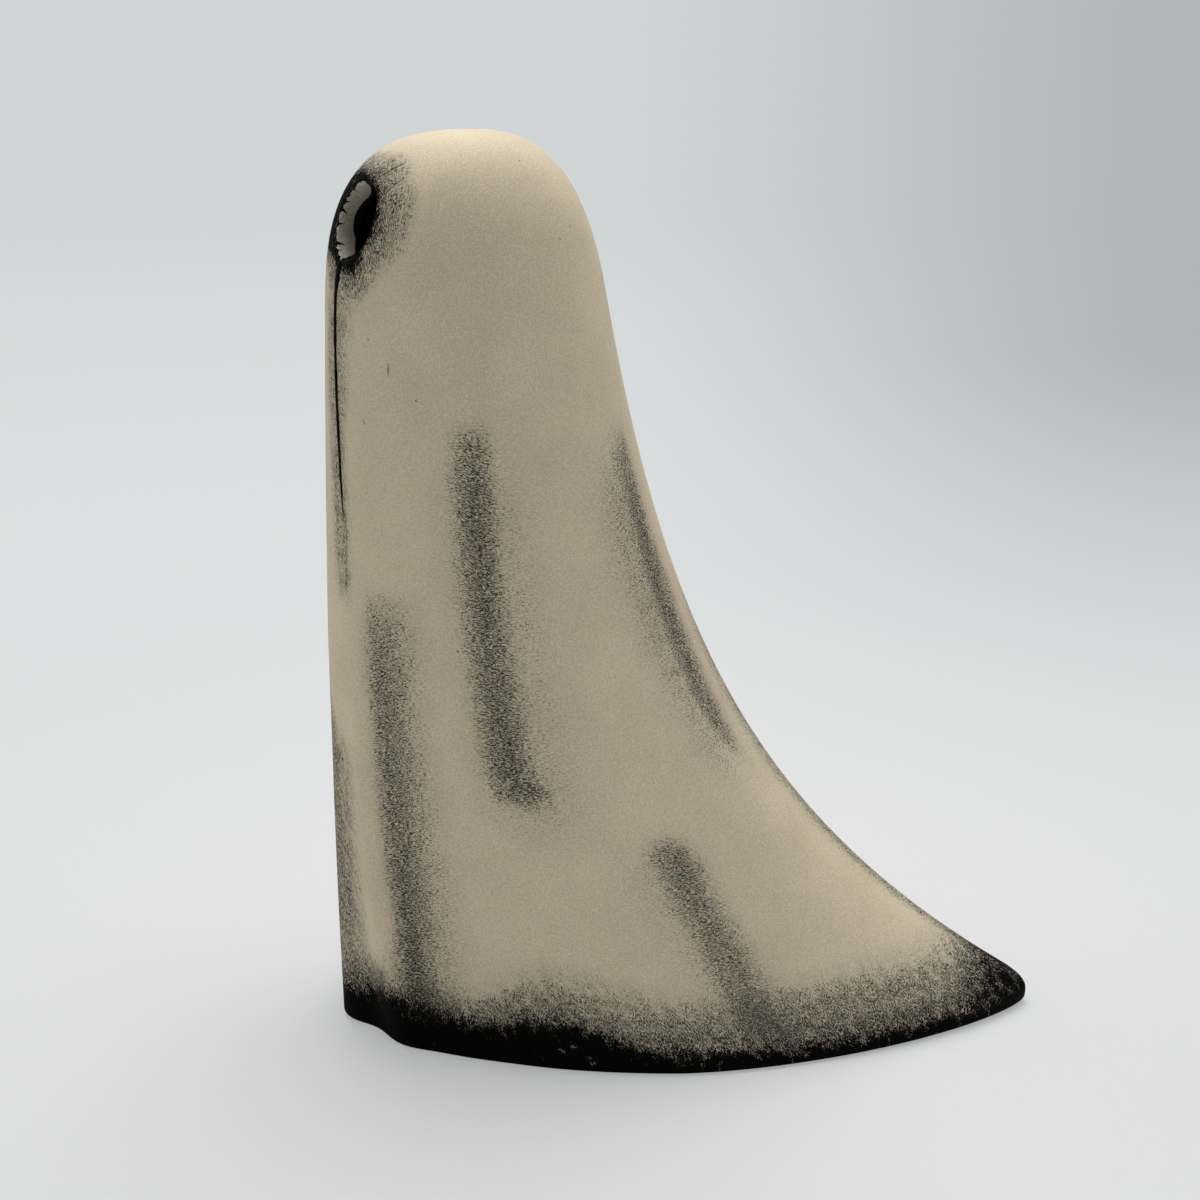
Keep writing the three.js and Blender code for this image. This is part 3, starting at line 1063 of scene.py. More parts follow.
STRIPES = (
    # Middle of the front.
    BrushStripe(((-3, 0, 0.86, 9, 9), (9, 0, 0.86, 8, 8), (14, 0, 0.86, 8.8, 8.8),
                 (20, 0, 0.84, 9.2, 9.2), (28, 0, 0.84, 9.4, 9.4), (34, 0, 0.8, 9.2, 9.2),
                 (38, 0, 0.74, 8.4, 8.4)), ease_top=1.8, power=3.2, arch=7.0, bristles=Bristles.UPRIGHT),
    # Fold beside the front: dry-brushed paint, its long reach towards the train partly painted shade of the
    # valley.
    BrushStripe(((0, 45, 0.92, 2.4, 3.6), (13, 46, 0.88, 1.8, 3.8), (17, 47, 0.82, 1.5, 4.6),
                 (25, 47.5, 0.79, 1.5, 5.1), (32, 48, 0.73, 1.6, 5.3), (40, 48.3, 0.7, 1.6, 5),
                 (47, 48.5, 0.7, 1.7, 4.6), (53, 49.5, 0.5, 2, 4.6),
                 (58, 51, 0.15, 2.2, 4.6)), ease_top=2),
    # Thin grey behind it: partly dry-brushed paint, partly painted shade of the fold's valley.
    BrushStripe(((4, 50, 0.2, 2.5, 4), (15, 53, 0.3, 2.5, 4.5), (25, 56, 0.28, 3, 4.5),
                 (33, 57, 0.1, 3, 4.5)), ease_top=5),
    # Middle of the side.
    BrushStripe(((33.4, 90.5, 0.8, 2.9, 3.1), (38, 90, 0.88, 2.8, 2.9), (50, 90, 0.76, 2.6, 2.7),
                 (62, 90, 0.79, 2.4, 2.4), (72, 90, 0.83, 2.3, 2.1),
                 (78, 90, 0.4, 2.2, 2)), ease_foot=1.8, ease_top=2.5),
    # Thin paint round it.
    BrushStripe(((30, 91, 0.18, 5, 7), (45, 91, 0.2, 4.5, 7), (60, 90, 0.2, 4, 7),
                 (74, 90, 0.16, 4, 6)), ease_foot=4, ease_top=5),
    # Blot at its foot.
    BrushStripe(((33.4, 92.3, 0.94, 2.6, 2.7), (36.6, 92.3, 0.94, 2.6, 2.7)), ease_foot=2, ease_top=2),
    # Fold along the back.
    BrushStripe(((36, 157, 0.48, 1.7, 1.4), (43.5, 156.5, 0.76, 2.5, 1.8), (51, 157.3, 0.79, 2.9, 1.95),
                 (58.5, 157.5, 0.83, 3.1, 1.95), (65.8, 158.5, 0.8, 3.4, 1.4),
                 (73, 158.5, 0.5, 3.4, 1.2),
                 (76, 159, 0.2, 3.2, 1.1)), ease_foot=3, ease_top=3, power=2.4),
    # Thin paint ahead of it.
    BrushStripe(((34, 152, 0.2, 4.5, 2.5), (47, 152, 0.3, 5, 2.5), (62, 151, 0.32, 5.2, 2.5),
                 (73, 151, 0.24, 5, 2.5)), ease_foot=5, ease_top=5),
    # Fold down to the train.
    BrushStripe(((3, 108, 0.68, 3.2, 3.2), (11.4, 112.5, 0.64, 3.3, 3.2), (15.3, 115, 0.62, 3.1, 3),
                 (19.4, 116.2, 0.64, 2.9, 2.8), (23.4, 117.8, 0.77, 2.8, 2.6),
                 (27.5, 118.8, 0.75, 2.7, 2.4)), ease_foot=3, ease_top=2),
    # Thin paint ahead of it.
    BrushStripe(((6, 111, 0.24, 6, 3.2), (12, 114, 0.26, 6, 3.2), (27, 119, 0.22, 6, 3)), ease_top=3),
    # Back edge of the train.
    BrushStripe(((0, 180, 0.64, 1.2, 1.2), (10, 180, 0.6, 1.4, 1.4), (20, 180, 0.54, 1.8, 1.8),
                 (30, 180, 0.5, 2.4, 2.4), (45, 180, 0.42, 2.6, 2.6),
                 (56, 180, 0.24, 2.2, 2.2)), ease_foot=1, ease_top=6),
)


@dataclass(frozen=True)
class EyeShade:
    """Black paint brushed round an eye: solid at the rim, and fading outwards as dry marks.

    Both reaches are distances outside the rim, by the angle round the eye: first away from the
    face, then above it, towards the face, and below it. The solid paint's edge is ragged by
    waves, each a product of two sines of places across and up the eye.
    """

    angles: Sizes = (0, 15, 30, 45, 60, 75, 90, 105, 120, 135, 150, 180, 210, 225, 240, 255, 270, 285, 300,
                     315, 330, 345, 360)
    solid: Sizes = (0.6, 0.5, 0.5, 0.3, 0.4, 0.5, 0.6, 1.1, 2.0, 3.1, 4.2, 6.2, 3.7, 1.8, 1.1, 0.8, 0.7,
                    1.3, 1.2, 0.3, 0.3, 0.4, 0.6)
    last: Sizes = (6.1, 5.9, 5.2, 4.7, 4.8, 4.4, 3.8, 4.2, 5.3, 6.8, 8.2, 9.5, 6.7, 5.2, 5.2, 4.8, 4.6, 5.0,
                   5.0, 5.2, 5.8, 6.5, 6.1)
    rim_cover: float = 0.98
    rim_load: float = 1.3
    fade_power: float = 0.98
    raggedness: float = 0.4
    waves: tuple[Sizes, ...] = ((1.0, 2.9, 1.3, 0.0, -1.7, 2.1, 0.6), (0.6, 6.1, -3.7, 0.0, 2.9, 5.3, 0.0))
    soft_from: float = -0.4
    soft_to: float = 1.1
    behind: float = -9.0

    def paint(self, eye: EyeHole, places: Grid) -> Grid:
        """Share of the surface covered round an eye.

        Args:
            eye: The eye.
            places: Points of the outer surface.

        Returns:
            Cover, above 1 where the paint is solid.
        """
        across, up, out = np.moveaxis(eye.flat(places), -1, 0)
        across = across * eye.side.value
        away = eye.outside_distance(across, up)
        turn = np.degrees(np.arctan2(up, across)) % 360.0
        solid, last = (np.interp(turn, self.angles, reaches) for reaches in (self.solid, self.last))
        faded = self.rim_cover * (1.0 - np.clip((away - solid) / (last - solid), 0.0, 1.0))**self.fade_power
        past = away - (solid + self.raggedness * weave(across, up, self.waves))
        thick = self.rim_load * (1.0 - smoothstep(past, self.soft_from, self.soft_to))
        return np.where(out > self.behind, np.maximum(thick, faded), 0.0)


@dataclass(frozen=True)
class HemShade:
    """Black paint along the hem: solid at the bottom, and fading upwards as dry marks.

    At each bearing the heights are given where the paint is almost full, half and almost gone.
    Each chip has a height, a bearing and a size.
    """

    bearings: Sizes = (0, 18, 28, 36, 44, 52, 61, 71, 80, 89, 99, 109, 120, 133, 149, 166, 180)
    full: Sizes = (4.2, 5.5, 6.2, 7.6, 6.4, 5.9, 5.8, 6.9, 6.7, 3.7, 3.2, 2.8, 3.0, 3.0, 3.0, 4.2, 4.2)
    half: Sizes = (7.6, 9.4, 8.8, 9.7, 8.3, 8.0, 7.5, 9.5, 9.9, 7.1, 7.1, 7.6, 7.3, 7.8, 7.8, 7.8, 7.8)
    faint: Sizes = (9.8, 11.0, 11.0, 10.7, 10.0, 9.5, 9.0, 11.0, 13.1, 12.4, 8.9, 9.8, 9.4, 9.6, 9.2, 10.6,
                    10.6)
    full_cover: float = 0.92
    half_cover: float = 0.5
    faint_cover: float = 0.12
    lower_power: float = 1.4
    solid_gain: float = 0.24
    solid_depth: float = 3.0
    last_reach: float = 2.5
    tip_reaches: Sizes = (4.5, 8.5, 11.5, 14.0, 17.0)
    tip_covers: Sizes = (1.18, 1.04, 0.82, 0.38, 0.0)
    tip_height: float = 3.0
    tip_slope: float = 0.65
    chips: tuple[Sizes, ...] = ((2.8, 73.2, 0.4), (3.5, 75.8, 0.3), (2.1, 77.2, 0.35), (1.2, 77.0, 0.3),
                                (1.2, 47.5, 0.3), (2.2, 96.0, 0.3), (1.6, 121.0, 0.3))
    chip_cover: float = 0.7
    degree: float = 0.4

    def paint(self, height: Grid, bearing: Grid, from_tip: Grid) -> Grid:
        """Share of the surface covered near the hem.

        Args:
            height: Heights of the points.
            bearing: Their bearings.
            from_tip: How far ahead of the train's tip they lie.

        Returns:
            Cover, above 1 where the paint is solid.
        """
        turned = np.abs(bearing)
        full, half, faint = (np.interp(turned, self.bearings, heights)
                             for heights in (self.full, self.half, self.faint))
        below = np.clip((height - full) / (half - full), 0.0, 1.0) ** self.lower_power
        above = np.clip((height - half) / (faint - half), 0.0, 1.0)
        lower = (self.full_cover - (self.full_cover - self.half_cover) * below
                 + self.solid_gain * np.clip(full - height, 0.0, self.solid_depth))
        upper = self.half_cover - (self.half_cover - self.faint_cover) * above
        hem = np.where(height < half, lower, upper)
        hem = hem * (1.0 - smoothstep(height, faint, faint + self.last_reach))
        from_end = from_tip + self.tip_slope * (height - self.tip_height)
        hem = np.maximum(hem, np.interp(from_end, self.tip_reaches, self.tip_covers))
        for chip_height, chip_bearing, size in self.chips:
            away = np.hypot(height - chip_height, (turned - chip_bearing) * self.degree) / size
            hem = hem - np.maximum(hem - self.chip_cover, 0.0) * np.exp(-(away**4))
        return hem


@dataclass(frozen=True)
class DripLine:
    """The way of the thin drip that runs down from the foot of each eye."""

    heights: Sizes = (56.2, 59.0, 65.5, 70.3, 74.0, 77.0, 80.4, 84.0, 88.0, 91.6, 93.5, 95.4)
    bearings: Sizes = (34.2, 33.5, 32.4, 30.8, 29.8, 29.0, 28.0, 27.3, 27.0, 27.5, 28.8, 30.4)
    half_widths: Sizes = (0.04, 0.05, 0.12, 0.26, 0.32, 0.33, 0.34, 0.34, 0.35, 0.42, 0.48, 0.56)
    thin: float = 0.03
    thick: float = 0.3
    bead_end: float = 66.0
    halo_heights: Sizes = (60.0, 75.0, 84.0, 92.0)
    halo_reaches: Sizes = (1.1, 1.5, 2.6, 3.4)
    halo_cover: float = 0.46
    halo_power: float = 2.4
    face_cover: float = 0.48
    face_offset: float = 1.2
    face_reach: float = 1.5
    line_cover: float = 0.72
    line_reach: float = 0.2
    line_waves: tuple[Sizes, ...] = ((2.3, 0.0, 0.2),)
    patch_cover: float = 0.9
    patch_swing: float = 0.2
    patch_counts: Pair = (1.7, 0.9)
    halo_foot: Pair = (54.5, 60.0)
    halo_top: Pair = (92.4, 96.4)
    line_foot: Pair = (54.5, 58.0)
    line_top: Pair = (70.0, 74.0)
    steps: int = 260

    def bearing_at(self, height: Grid) -> Grid:
        """Bearing of the drip at a height."""
        return np.interp(height, self.heights, self.bearings)

    def paint(self, height: Grid, girth: Grid, ruler: ClothRuler) -> Grid:
        """Thin grey paint to either side of the drip, where the brush was wiped past it.

        It is a bell beside the drip on its face side, and one from it towards the train. Below the
        bead a faint line goes on.

        Args:
            height: Heights of the points.
            girth: Their distances round the cloth from the front.
            ruler: The cloth's ruler.

        Returns:
            Cover from 0 to 1.
        """
        away = np.abs(girth) - ruler.read(height, self.bearing_at(height))[0]
        quick, slow = self.patch_counts
        swing = np.sin(quick * height) * np.sin(slow * height + 1.0)
        uneven = self.patch_cover + self.patch_swing * swing
        reach = np.interp(height, self.halo_heights, self.halo_reaches)
        face = self.face_cover * np.exp(-(((away + self.face_offset) / self.face_reach) ** 2))
        train = self.halo_cover * np.exp(-(np.abs(away / reach) ** self.halo_power))
        top = 1.0 - smoothstep(height, *self.halo_top)
        bells = np.where(away < 0.0, face, train) * uneven * smoothstep(height, *self.halo_foot) * top
        line = self.line_cover + ripples(height, self.line_waves)
        line = line * np.exp(-((away / self.line_reach) ** 2))
        line = line * smoothstep(height, *self.line_foot) * (1.0 - smoothstep(height, *self.line_top))
        return np.maximum(bells, line)


@dataclass
class Skin:
    """A grid over the figure, from a bottom height to just under the crown, open at the eyes.

    A square block of cells is left out round each eye. The block's border is drawn to the egg
    outline, and the points round it are moved by the same amount times a weight that fades to
    nothing a few cells out. A coarse skin has steps as long as several of a fine one's.
    """

    form: ClothForm
    eyes: tuple[EyeHole, ...]
    wall: float
    bottom: float
    rim_margin: float
    coarse: int = 1
    columns: int = 300
    body_step: float = 0.6
    head_step: float = 0.4
    block: int = 12
    fade_reach: float = 2.3
    heights: Grid = field(init=False)
    bearings: Grid = field(init=False)
    height: Grid = field(init=False)
    bearing: Grid = field(init=False)
    left_out: NDArray[np.bool_] = field(init=False)
    borders: list[tuple[Index, Index]] = field(init=False)

    def __post_init__(self) -> None:
        """Lays the plain grid and opens it at the eyes."""
        self.heights = self.form.row_heights(self.wall, self.bottom, self.coarse * self.body_step,
                                             self.coarse * self.head_step)
        self.bearings = np.linspace(-180.0, 180.0, self.columns // self.coarse + 1)
        self.height, self.bearing = np.meshgrid(self.heights, self.bearings, indexing="ij")
        self.left_out = np.zeros((self.heights.size - 1, self.bearings.size - 1), bool)
        self.borders = [self.open_at(eye) for eye in self.eyes]

    def open_at(self, eye: EyeHole) -> tuple[Index, Index]:
        """Leaves out the cells at an eye and draws the points round them to its outline.

        Args:
            eye: The eye to open.

        Returns:
            Rows and columns of the border's points, from the side of greater bearings upwards,
            with the first again at the end.
        """
        block = self.block // self.coarse
        row, column = (int(np.abs(run - middle).argmin())
                       for run, middle in zip((self.heights, self.bearings), eye.middle))
        rows, columns = np.indices(self.height.shape)
        over, up = (columns - column) / block, (rows - row) / block
        reach = np.maximum(np.abs(over), np.abs(up))
        near = (reach > 1.0 - 1e-9) & (reach < self.fade_reach)
        over, up, reach = over[near], up[near], reach[near]
        egg = eye.locate(*eye.outline(self.square_turn(over, up), self.rim_margin), self.wall)
        weight = 1.0 - smoothstep(reach, 1.0, self.fade_reach)
        for grid, run, middle, steps, wanted in ((self.height, self.heights, row, up, egg[0]),
                                                 (self.bearing, self.bearings, column, over, egg[1])):
            border = np.interp(middle + steps / reach * block, np.arange(run.size), run)
            grid[near] += (wanted - border) * weight
        self.left_out[row - block:row + block, column - block:column + block] = True
        side, run = np.full(2 * block, block), np.arange(-block, block)
        over = np.roll(np.concatenate([side, -run, -side, run]), -block)
        up = np.roll(np.concatenate([run, side, -run, -side]), -block)
        return row + np.append(up, up[0]), column + np.append(over, over[0])

    @staticmethod
    def square_turn(over: Grid, up: Grid) -> Grid:
        """Angle round a square, where equal steps along its border are equal angles.

        Args:
            over: Places across the square.
            up: Places up it.

        Returns:
            The angles, from 0 at the middle of one side.
        """
        quarter = np.pi / 4.0
        with np.errstate(divide="ignore", invalid="ignore"):
            on_sides = quarter * up / over + np.where(over < 0.0, np.pi, 0.0)
            on_ends = np.where(up < 0.0, 1.5, 0.5) * np.pi - quarter * over / up
        return np.where(np.abs(over) >= np.abs(up), on_sides, on_ends)

    def places(self) -> Grid:
        """Points of the grid."""
        return self.form.point(self.height, self.bearing, self.wall)


@dataclass
class GhostShell:
    """The hollow body, with rounded eye rims, an even wall, and a rebate for the base.

    The cut wall of an eye is painted past a depth that varies round it, and is slightly wavy.
    """

    form: ClothForm
    eyes: tuple[EyeHole, ...]
    wall: float = 2.7
    hem_lip: float = 1.5
    rebate_depth: float = 3.2
    eye_round: float = 0.25
    hem_rings: int = 5
    eye_round_rings: int = 4
    eye_wall_rings: int = 9
    sharp_angle: float = 50.0
    # The sizes of its waves add up to 2.4, so that together they reach 0.07 mm.
    wall_wobble: float = 0.07 / 2.4
    wall_waves: tuple[Sizes, ...] = ((7.0, 1.3, 1.0), (13.0, 0.4, 0.8), (23.0, 2.2, 0.6))
    pool_start: Pair = (251.0, 257.0)
    pool_end: Pair = (330.0, 350.0)
    rim_load: float = 9.0
    limit_turns: Sizes = (70, 90, 101, 107, 115, 125, 134, 142, 151, 162, 172, 180, 190, 198, 206, 216, 222,
                          229, 236, 248, 256, 330, 345)
    limit_depths: Sizes = (-0.3, -0.1, 0.2, 0.95, 1.65, 2.2, 2.4, 2.25, 2.1, 1.95, 1.9, 1.95, 2.1, 2.45,
                           2.75, 2.75, 2.55, 2.15, 1.4, 0.5, 0.0, -0.3, -0.3)
    eye_shade: EyeShade = EyeShade()
    hem_shade: HemShade = HemShade()
    drip: DripLine = DripLine()
    outer: Skin = field(init=False)
    inner: Skin = field(init=False)
    ruler: ClothRuler = field(init=False)
    draft: MeshDraft = field(init=False)

    def __post_init__(self) -> None:
        """Lays the grids of both surfaces, and the ruler along the outer one."""
        self.outer = Skin(self.form, self.eyes, 0.0, self.form.hem_round, self.eye_round)
        self.inner = Skin(self.form, self.eyes, self.wall, self.rebate_depth, 0.0, coarse=2)
        self.ruler = ClothRuler.along(self.form, self.outer.heights, self.outer.bearings)
        self.draft = MeshDraft(self.form.shift)

    def build(self) -> Piece:
        """Makes the shell as one closed mesh, with the values that its paint reads.

        Returns:
            The shell, in place of its CAD solid.
        """
        outside, inside = self.add_outside(), self.add_inside()
        self.add_hem(outside[0], inside[0])
        for eye, at, inner_at in zip(self.eyes, self.outer.borders, self.inner.borders):
            self.add_eye_wall(eye, at, outside[at], inner_at, inside[inner_at])
        rim_length = float(self.eyes[0].rim_distances(np.linspace(0.0, TURN, 721))[-1])
        finish = BonePaint(rim_length).material("bone_with_dry_brushed_black")
        shell = self.draft.to_object("ghost_shell", finish, held=True)
        shell.data.set_sharp_from_angle(angle=math.radians(self.sharp_angle))
        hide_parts("body_shell")
        return shell

    def painted(self, height: Grid, bearing: Grid, places: Grid) -> dict[str, Grid]:
        """The values that the paint reads on the outside.

        Args:
            height: Heights of the points.
            bearing: Their bearings.
            places: The points themselves.

        Returns:
            Distances along the cloth and shares of paint, by name.
        """
        girth, rise = self.ruler.read(height, bearing)
        covers = {bristles: np.zeros(height.shape) for bristles in Bristles}
        for stroke in STRIPES:
            brushed = stroke.paint(height, girth, self.ruler)
            covers[stroke.bristles] = np.maximum(covers[stroke.bristles], brushed)
        eye = np.maximum(*(self.eye_shade.paint(hole, places) for hole in self.eyes))
        hem = self.hem_shade.paint(height, bearing, self.form.tip - places[..., 1])
        hem = np.maximum(hem, self.drip.paint(height, girth, self.ruler))
        hem = np.maximum(hem, covers[Bristles.UPRIGHT])
        return {"girth": girth, "rise": rise, "stripe": paint_load(covers[Bristles.LEVEL]),
                "eye": paint_load(eye), "hem": paint_load(hem)}

    def add_outside(self) -> Index:
        """Adds the outer surface and closes it at the crown.

        Returns:
            Indices of the grid's points.
        """
        crown, places = self.form.crown(0.0), self.outer.places()
        painted = self.painted(self.outer.height, self.outer.bearing, places)
        indices = self.draft.add_rings(places, **painted)
        self.draft.add_grid(indices, self.outer.left_out)
        top = self.painted(np.array([self.form.height]), np.array([0.0]), crown[None])
        self.draft.close(indices[-1], crown, **top)
        return indices

    def add_inside(self) -> Index:
        """Adds the inner surface, all black as the deep end of an eye's wall, and closes it.

        Returns:
            Indices of the grid's points.
        """
        deep = {"on_rim": 1.0, "rim_depth": 2.0 * self.wall}
        indices = self.draft.add_rings(self.inner.places(), **deep)
        self.draft.add_grid(indices, self.inner.left_out, turned=True)
        self.draft.close(indices[-1], self.form.crown(self.wall), turned=True, **deep)
        return indices

    def add_hem(self, outside: Index, inside: Index) -> None:
        """Adds the rounded hem, the flat under it and the rebate, and joins them to the hollow.

        The hem is a quarter circle, and the flat and the rebate's side are the same section,
        drawn in by the lip.

        Args:
            outside: The outer grid's lowest ring.
            inside: The inner grid's lowest ring.
        """
        rounded = quarter_round(self.form.hem_round, self.hem_rings)[:, ::-1]
        section = np.full(self.outer.bearings.shape, self.form.hem_round)
        for drawn_in, height in (*rounded, (self.hem_lip, 0.0), (self.hem_lip, self.rebate_depth)):
            ring = self.form.point(section, self.outer.bearings, 0.0, drawn_in)
            ring[:, 2] = height
            painted = self.painted(section, self.outer.bearings, ring)
            painted["rise"] = painted["rise"] - drawn_in
            indices = self.draft.add_rings(ring, **painted)
            self.draft.add_grid(np.stack([indices, outside]))
            outside = indices
        self.draft.add_stitch(outside, inside, turned=True)

    def add_eye_wall(self, eye: EyeHole, at: tuple[Index, Index], border: Index,
                     inner_at: tuple[Index, Index], inner_border: Index) -> None:
        """Adds the rounded rim and the cut wall of an eye, and joins them to the inner surface.

        The rim is a quarter circle that starts on the widened outline. Below it the wall runs
        straight in, and its waviness is strongest half way down.

        Args:
            eye: The eye.
            at: Rows and columns of its border in the outer grid.
            border: The border's points.
            inner_at: Rows and columns of its border in the inner grid.
            inner_border: That border's points.
        """
        turn = np.linspace(0.0, TURN, border.size)
        height, bearing = self.outer.height[at], self.outer.bearing[at]
        start = eye.flat(self.form.point(height, bearing))[:, 2]
        deepest = eye.flat(self.inner.places()[inner_at])[:, 2]
        end = np.interp(turn, np.linspace(0.0, TURN, inner_border.size), deepest)
        girth, rise = self.ruler.read(height, bearing)
        along = eye.rim_distances(turn)
        foot_turn = np.degrees(eye.turned(turn)) % 360.0
        values = {
            "girth": girth, "rise": rise, "eye": self.rim_load,
            "rim_along": along if eye.side is Side.LEFT else along[-1] / 2.0 - along,
            "rim_limit": np.interp(foot_turn, self.limit_turns, self.limit_depths), "on_rim": 1.0,
            "pooled": (smoothstep(foot_turn, *self.pool_start)
                       * (1.0 - smoothstep(foot_turn, *self.pool_end))),
        }
        waves = self.wall_wobble * ripples(turn, self.wall_waves)
        rings = [(*inset, 0.0) for inset in quarter_round(self.eye_round, self.eye_round_rings)]
        rings += [(0.0, self.eye_round, share)
                  for share in np.linspace(0.0, 1.0, self.eye_wall_rings + 2)[1:-1]]
        for margin, sunk, share in rings:
            depth = sunk + (start - self.eye_round - end) * share
            across, up = eye.outline(turn, margin + waves * math.sin(math.pi * share))
            ring = eye.solid(across, up, start - depth)
            indices = self.draft.add_rings(ring, rim_depth=depth, **values)
            self.draft.add_grid(np.stack([indices, border]), turned=True)
            border = indices
        self.draft.add_stitch(border, inner_border)


@dataclass
class EyePaint:
    """Thick paint at the foot of an eye: the pool on its lower rim and the drip below."""

    eye: EyeHole
    drip: DripLine = DripLine()
    pool_from: float = 247.0
    pool_to: float = 338.0
    pool_half_width: float = 0.6
    pool_thickness: float = 0.34
    pool_depth: float = 0.42
    pool_margin: float = -0.06
    pool_lean: float = 0.9
    pool_steps: int = 70
    pool_power: float = 0.6
    pool_skew: float = 0.8
    least: float = 0.01
    smooth_over: int = 9
    width_waves: tuple[Sizes, ...] = ((31.0, 0.0, 0.08), (83.0, 1.0, 0.06))
    point_share: float = 1.0 / 60.0

    def build(self) -> list[Piece]:
        """Makes the pool and the drip.

        Returns:
            The two pieces.
        """
        finish = black_gloss().material(f"thick_black_{self.eye.label}")
        made = []
        for name, adder in (("eye_pool", self.add_pool), ("eye_drip", self.add_drip)):
            draft = MeshDraft(self.eye.form.shift)
            adder(draft)
            made.append(draft.to_object(f"{name}_{self.eye.label}", finish))
        return made

    def add_pool(self, draft: MeshDraft) -> None:
        """Adds the pool, a bead along the lower rim, thickest where the drip leaves it.

        Args:
            draft: The mesh draft.
        """
        eye = self.eye
        share = np.linspace(0.0, 1.0, self.pool_steps)
        turn = eye.turned(np.radians(self.pool_from + (self.pool_to - self.pool_from) * share))
        across, up = eye.outline(turn, self.pool_margin)
        surface = eye.flat(eye.form.point(*eye.locate(across, up, 0.0)))[:, 2]
        path = eye.solid(across, up, surface - self.pool_depth)
        lean = np.stack([-np.cos(turn), -np.sin(turn), np.full(turn.shape, self.pool_lean)], axis=-1)
        swell = swelling(share, self.pool_power, skew=self.pool_skew)
        draft.add_run(path, unit(lean @ eye.axes()[1]), self.pool_half_width * swell + self.least,
                      self.pool_thickness * swell + self.least)

    def add_drip(self, draft: MeshDraft) -> None:
        """Adds the drip, which narrows towards its foot in slow waves.

        Args:
            draft: The mesh draft.
        """
        drip, form = self.drip, self.eye.form
        share = np.linspace(0.0, 1.0, drip.steps)
        height = np.linspace(drip.heights[-1], drip.bead_end, drip.steps)
        bearing = np.pad(drip.bearing_at(height), self.smooth_over // 2, mode="edge")
        bearing = np.convolve(bearing, np.ones(self.smooth_over) / self.smooth_over, mode="valid")
        bearing = bearing * self.eye.side.value
        width = np.interp(height, drip.heights, drip.half_widths)
        width = width * (1.0 + ripples(share, self.width_waves))
        tips = np.minimum(1.0, np.minimum(share, 1.0 - share) / self.point_share) ** 0.5
        draft.add_run(form.point(height, bearing), form.normal(height, bearing), width * tips,
                      (drip.thin + drip.thick * width) * tips)


@dataclass
class CupGapBlocker:
    """A dark bead put between the two cups inside the head, where there is only shade, to block light."""

    form: ClothForm
    low: float = 93.5
    high: float = 105.0
    depth: float = 10.6
    bend: float = 0.8
    half_width: float = 3.0
    thickness: float = 1.6
    power: float = 0.6
    least: float = 0.01
    steps: int = 30
    sides: int = 20

    def build(self) -> Piece:
        """Makes the bead as one upright lens between the cups.

        Returns:
            The bead.
        """
        draft = MeshDraft(self.form.shift)
        share = np.linspace(0.0, 1.0, self.steps)
        height = self.low + (self.high - self.low) * share
        path = np.stack([0.0 * share, -self.depth + self.bend * share**3, height], axis=-1)
        swell = swelling(share, self.power, self.least)
        draft.add_run(path, np.broadcast_to([1.0, 0.0, 0.0], path.shape), self.half_width * swell,
                      self.thickness * swell, sides=self.sides, sunk=1.0)
        return draft.to_object("cup_gap_light_blocker", black_gloss(0.7, 0.02).material("black_light_blocker"))


@dataclass(frozen=True)
class StrayMark:
    """A single bristle's mark, between two places given as height and bearing."""

    start: Pair
    end: Pair
    half_width: float


@dataclass
class StrayMarks:
    """The few single marks of paint that lie by themselves on the cloth, alike on both sides."""

    form: ClothForm
    thickness: float = 0.02
    power: float = 0.5
    least: float = 0.02
    steps: int = 16
    sides: int = 8
    marks: tuple[StrayMark, ...] = (
        StrayMark((104.7, 41.0), (106.0, 48.0), 0.08), StrayMark((105.7, 46.5), (106.6, 54.0), 0.06),
        StrayMark((84.9, 59.0), (83.3, 58.8), 0.06), StrayMark((99.4, 148.6), (99.2, 149.4), 0.07),
        StrayMark((98.3, 138.7), (98.1, 139.3), 0.07), StrayMark((106.7, 132.0), (106.6, 133.0), 0.06),
        StrayMark((108.3, 98.0), (108.3, 99.0), 0.06), StrayMark((87.3, 49.3), (87.1, 49.7), 0.08),
        StrayMark((80.9, 69.9), (80.7, 70.5), 0.06), StrayMark((78.0, 46.0), (77.3, 47.2), 0.05),
        StrayMark((52.0, 79.2), (51.8, 79.8), 0.08),
    )

    def build(self) -> Piece:
        """Makes all the marks as one mesh of thin pointed beads.

        Returns:
            The marks.
        """
        draft = MeshDraft(self.form.shift)
        share = np.linspace(0.0, 1.0, self.steps)
        swell = swelling(share, self.power, self.least)
        for mark in self.marks:
            for side in Side:
                height, bearing = (start + (end - start) * share
                                   for start, end in zip(mark.start, mark.end))
                bearing = side.value * bearing
                draft.add_run(self.form.point(height, bearing), self.form.normal(height, bearing),
                              mark.half_width * swell, self.thickness * swell, sides=self.sides)
        return draft.to_object("stray_marks", black_gloss().material("single_bristle_marks"))


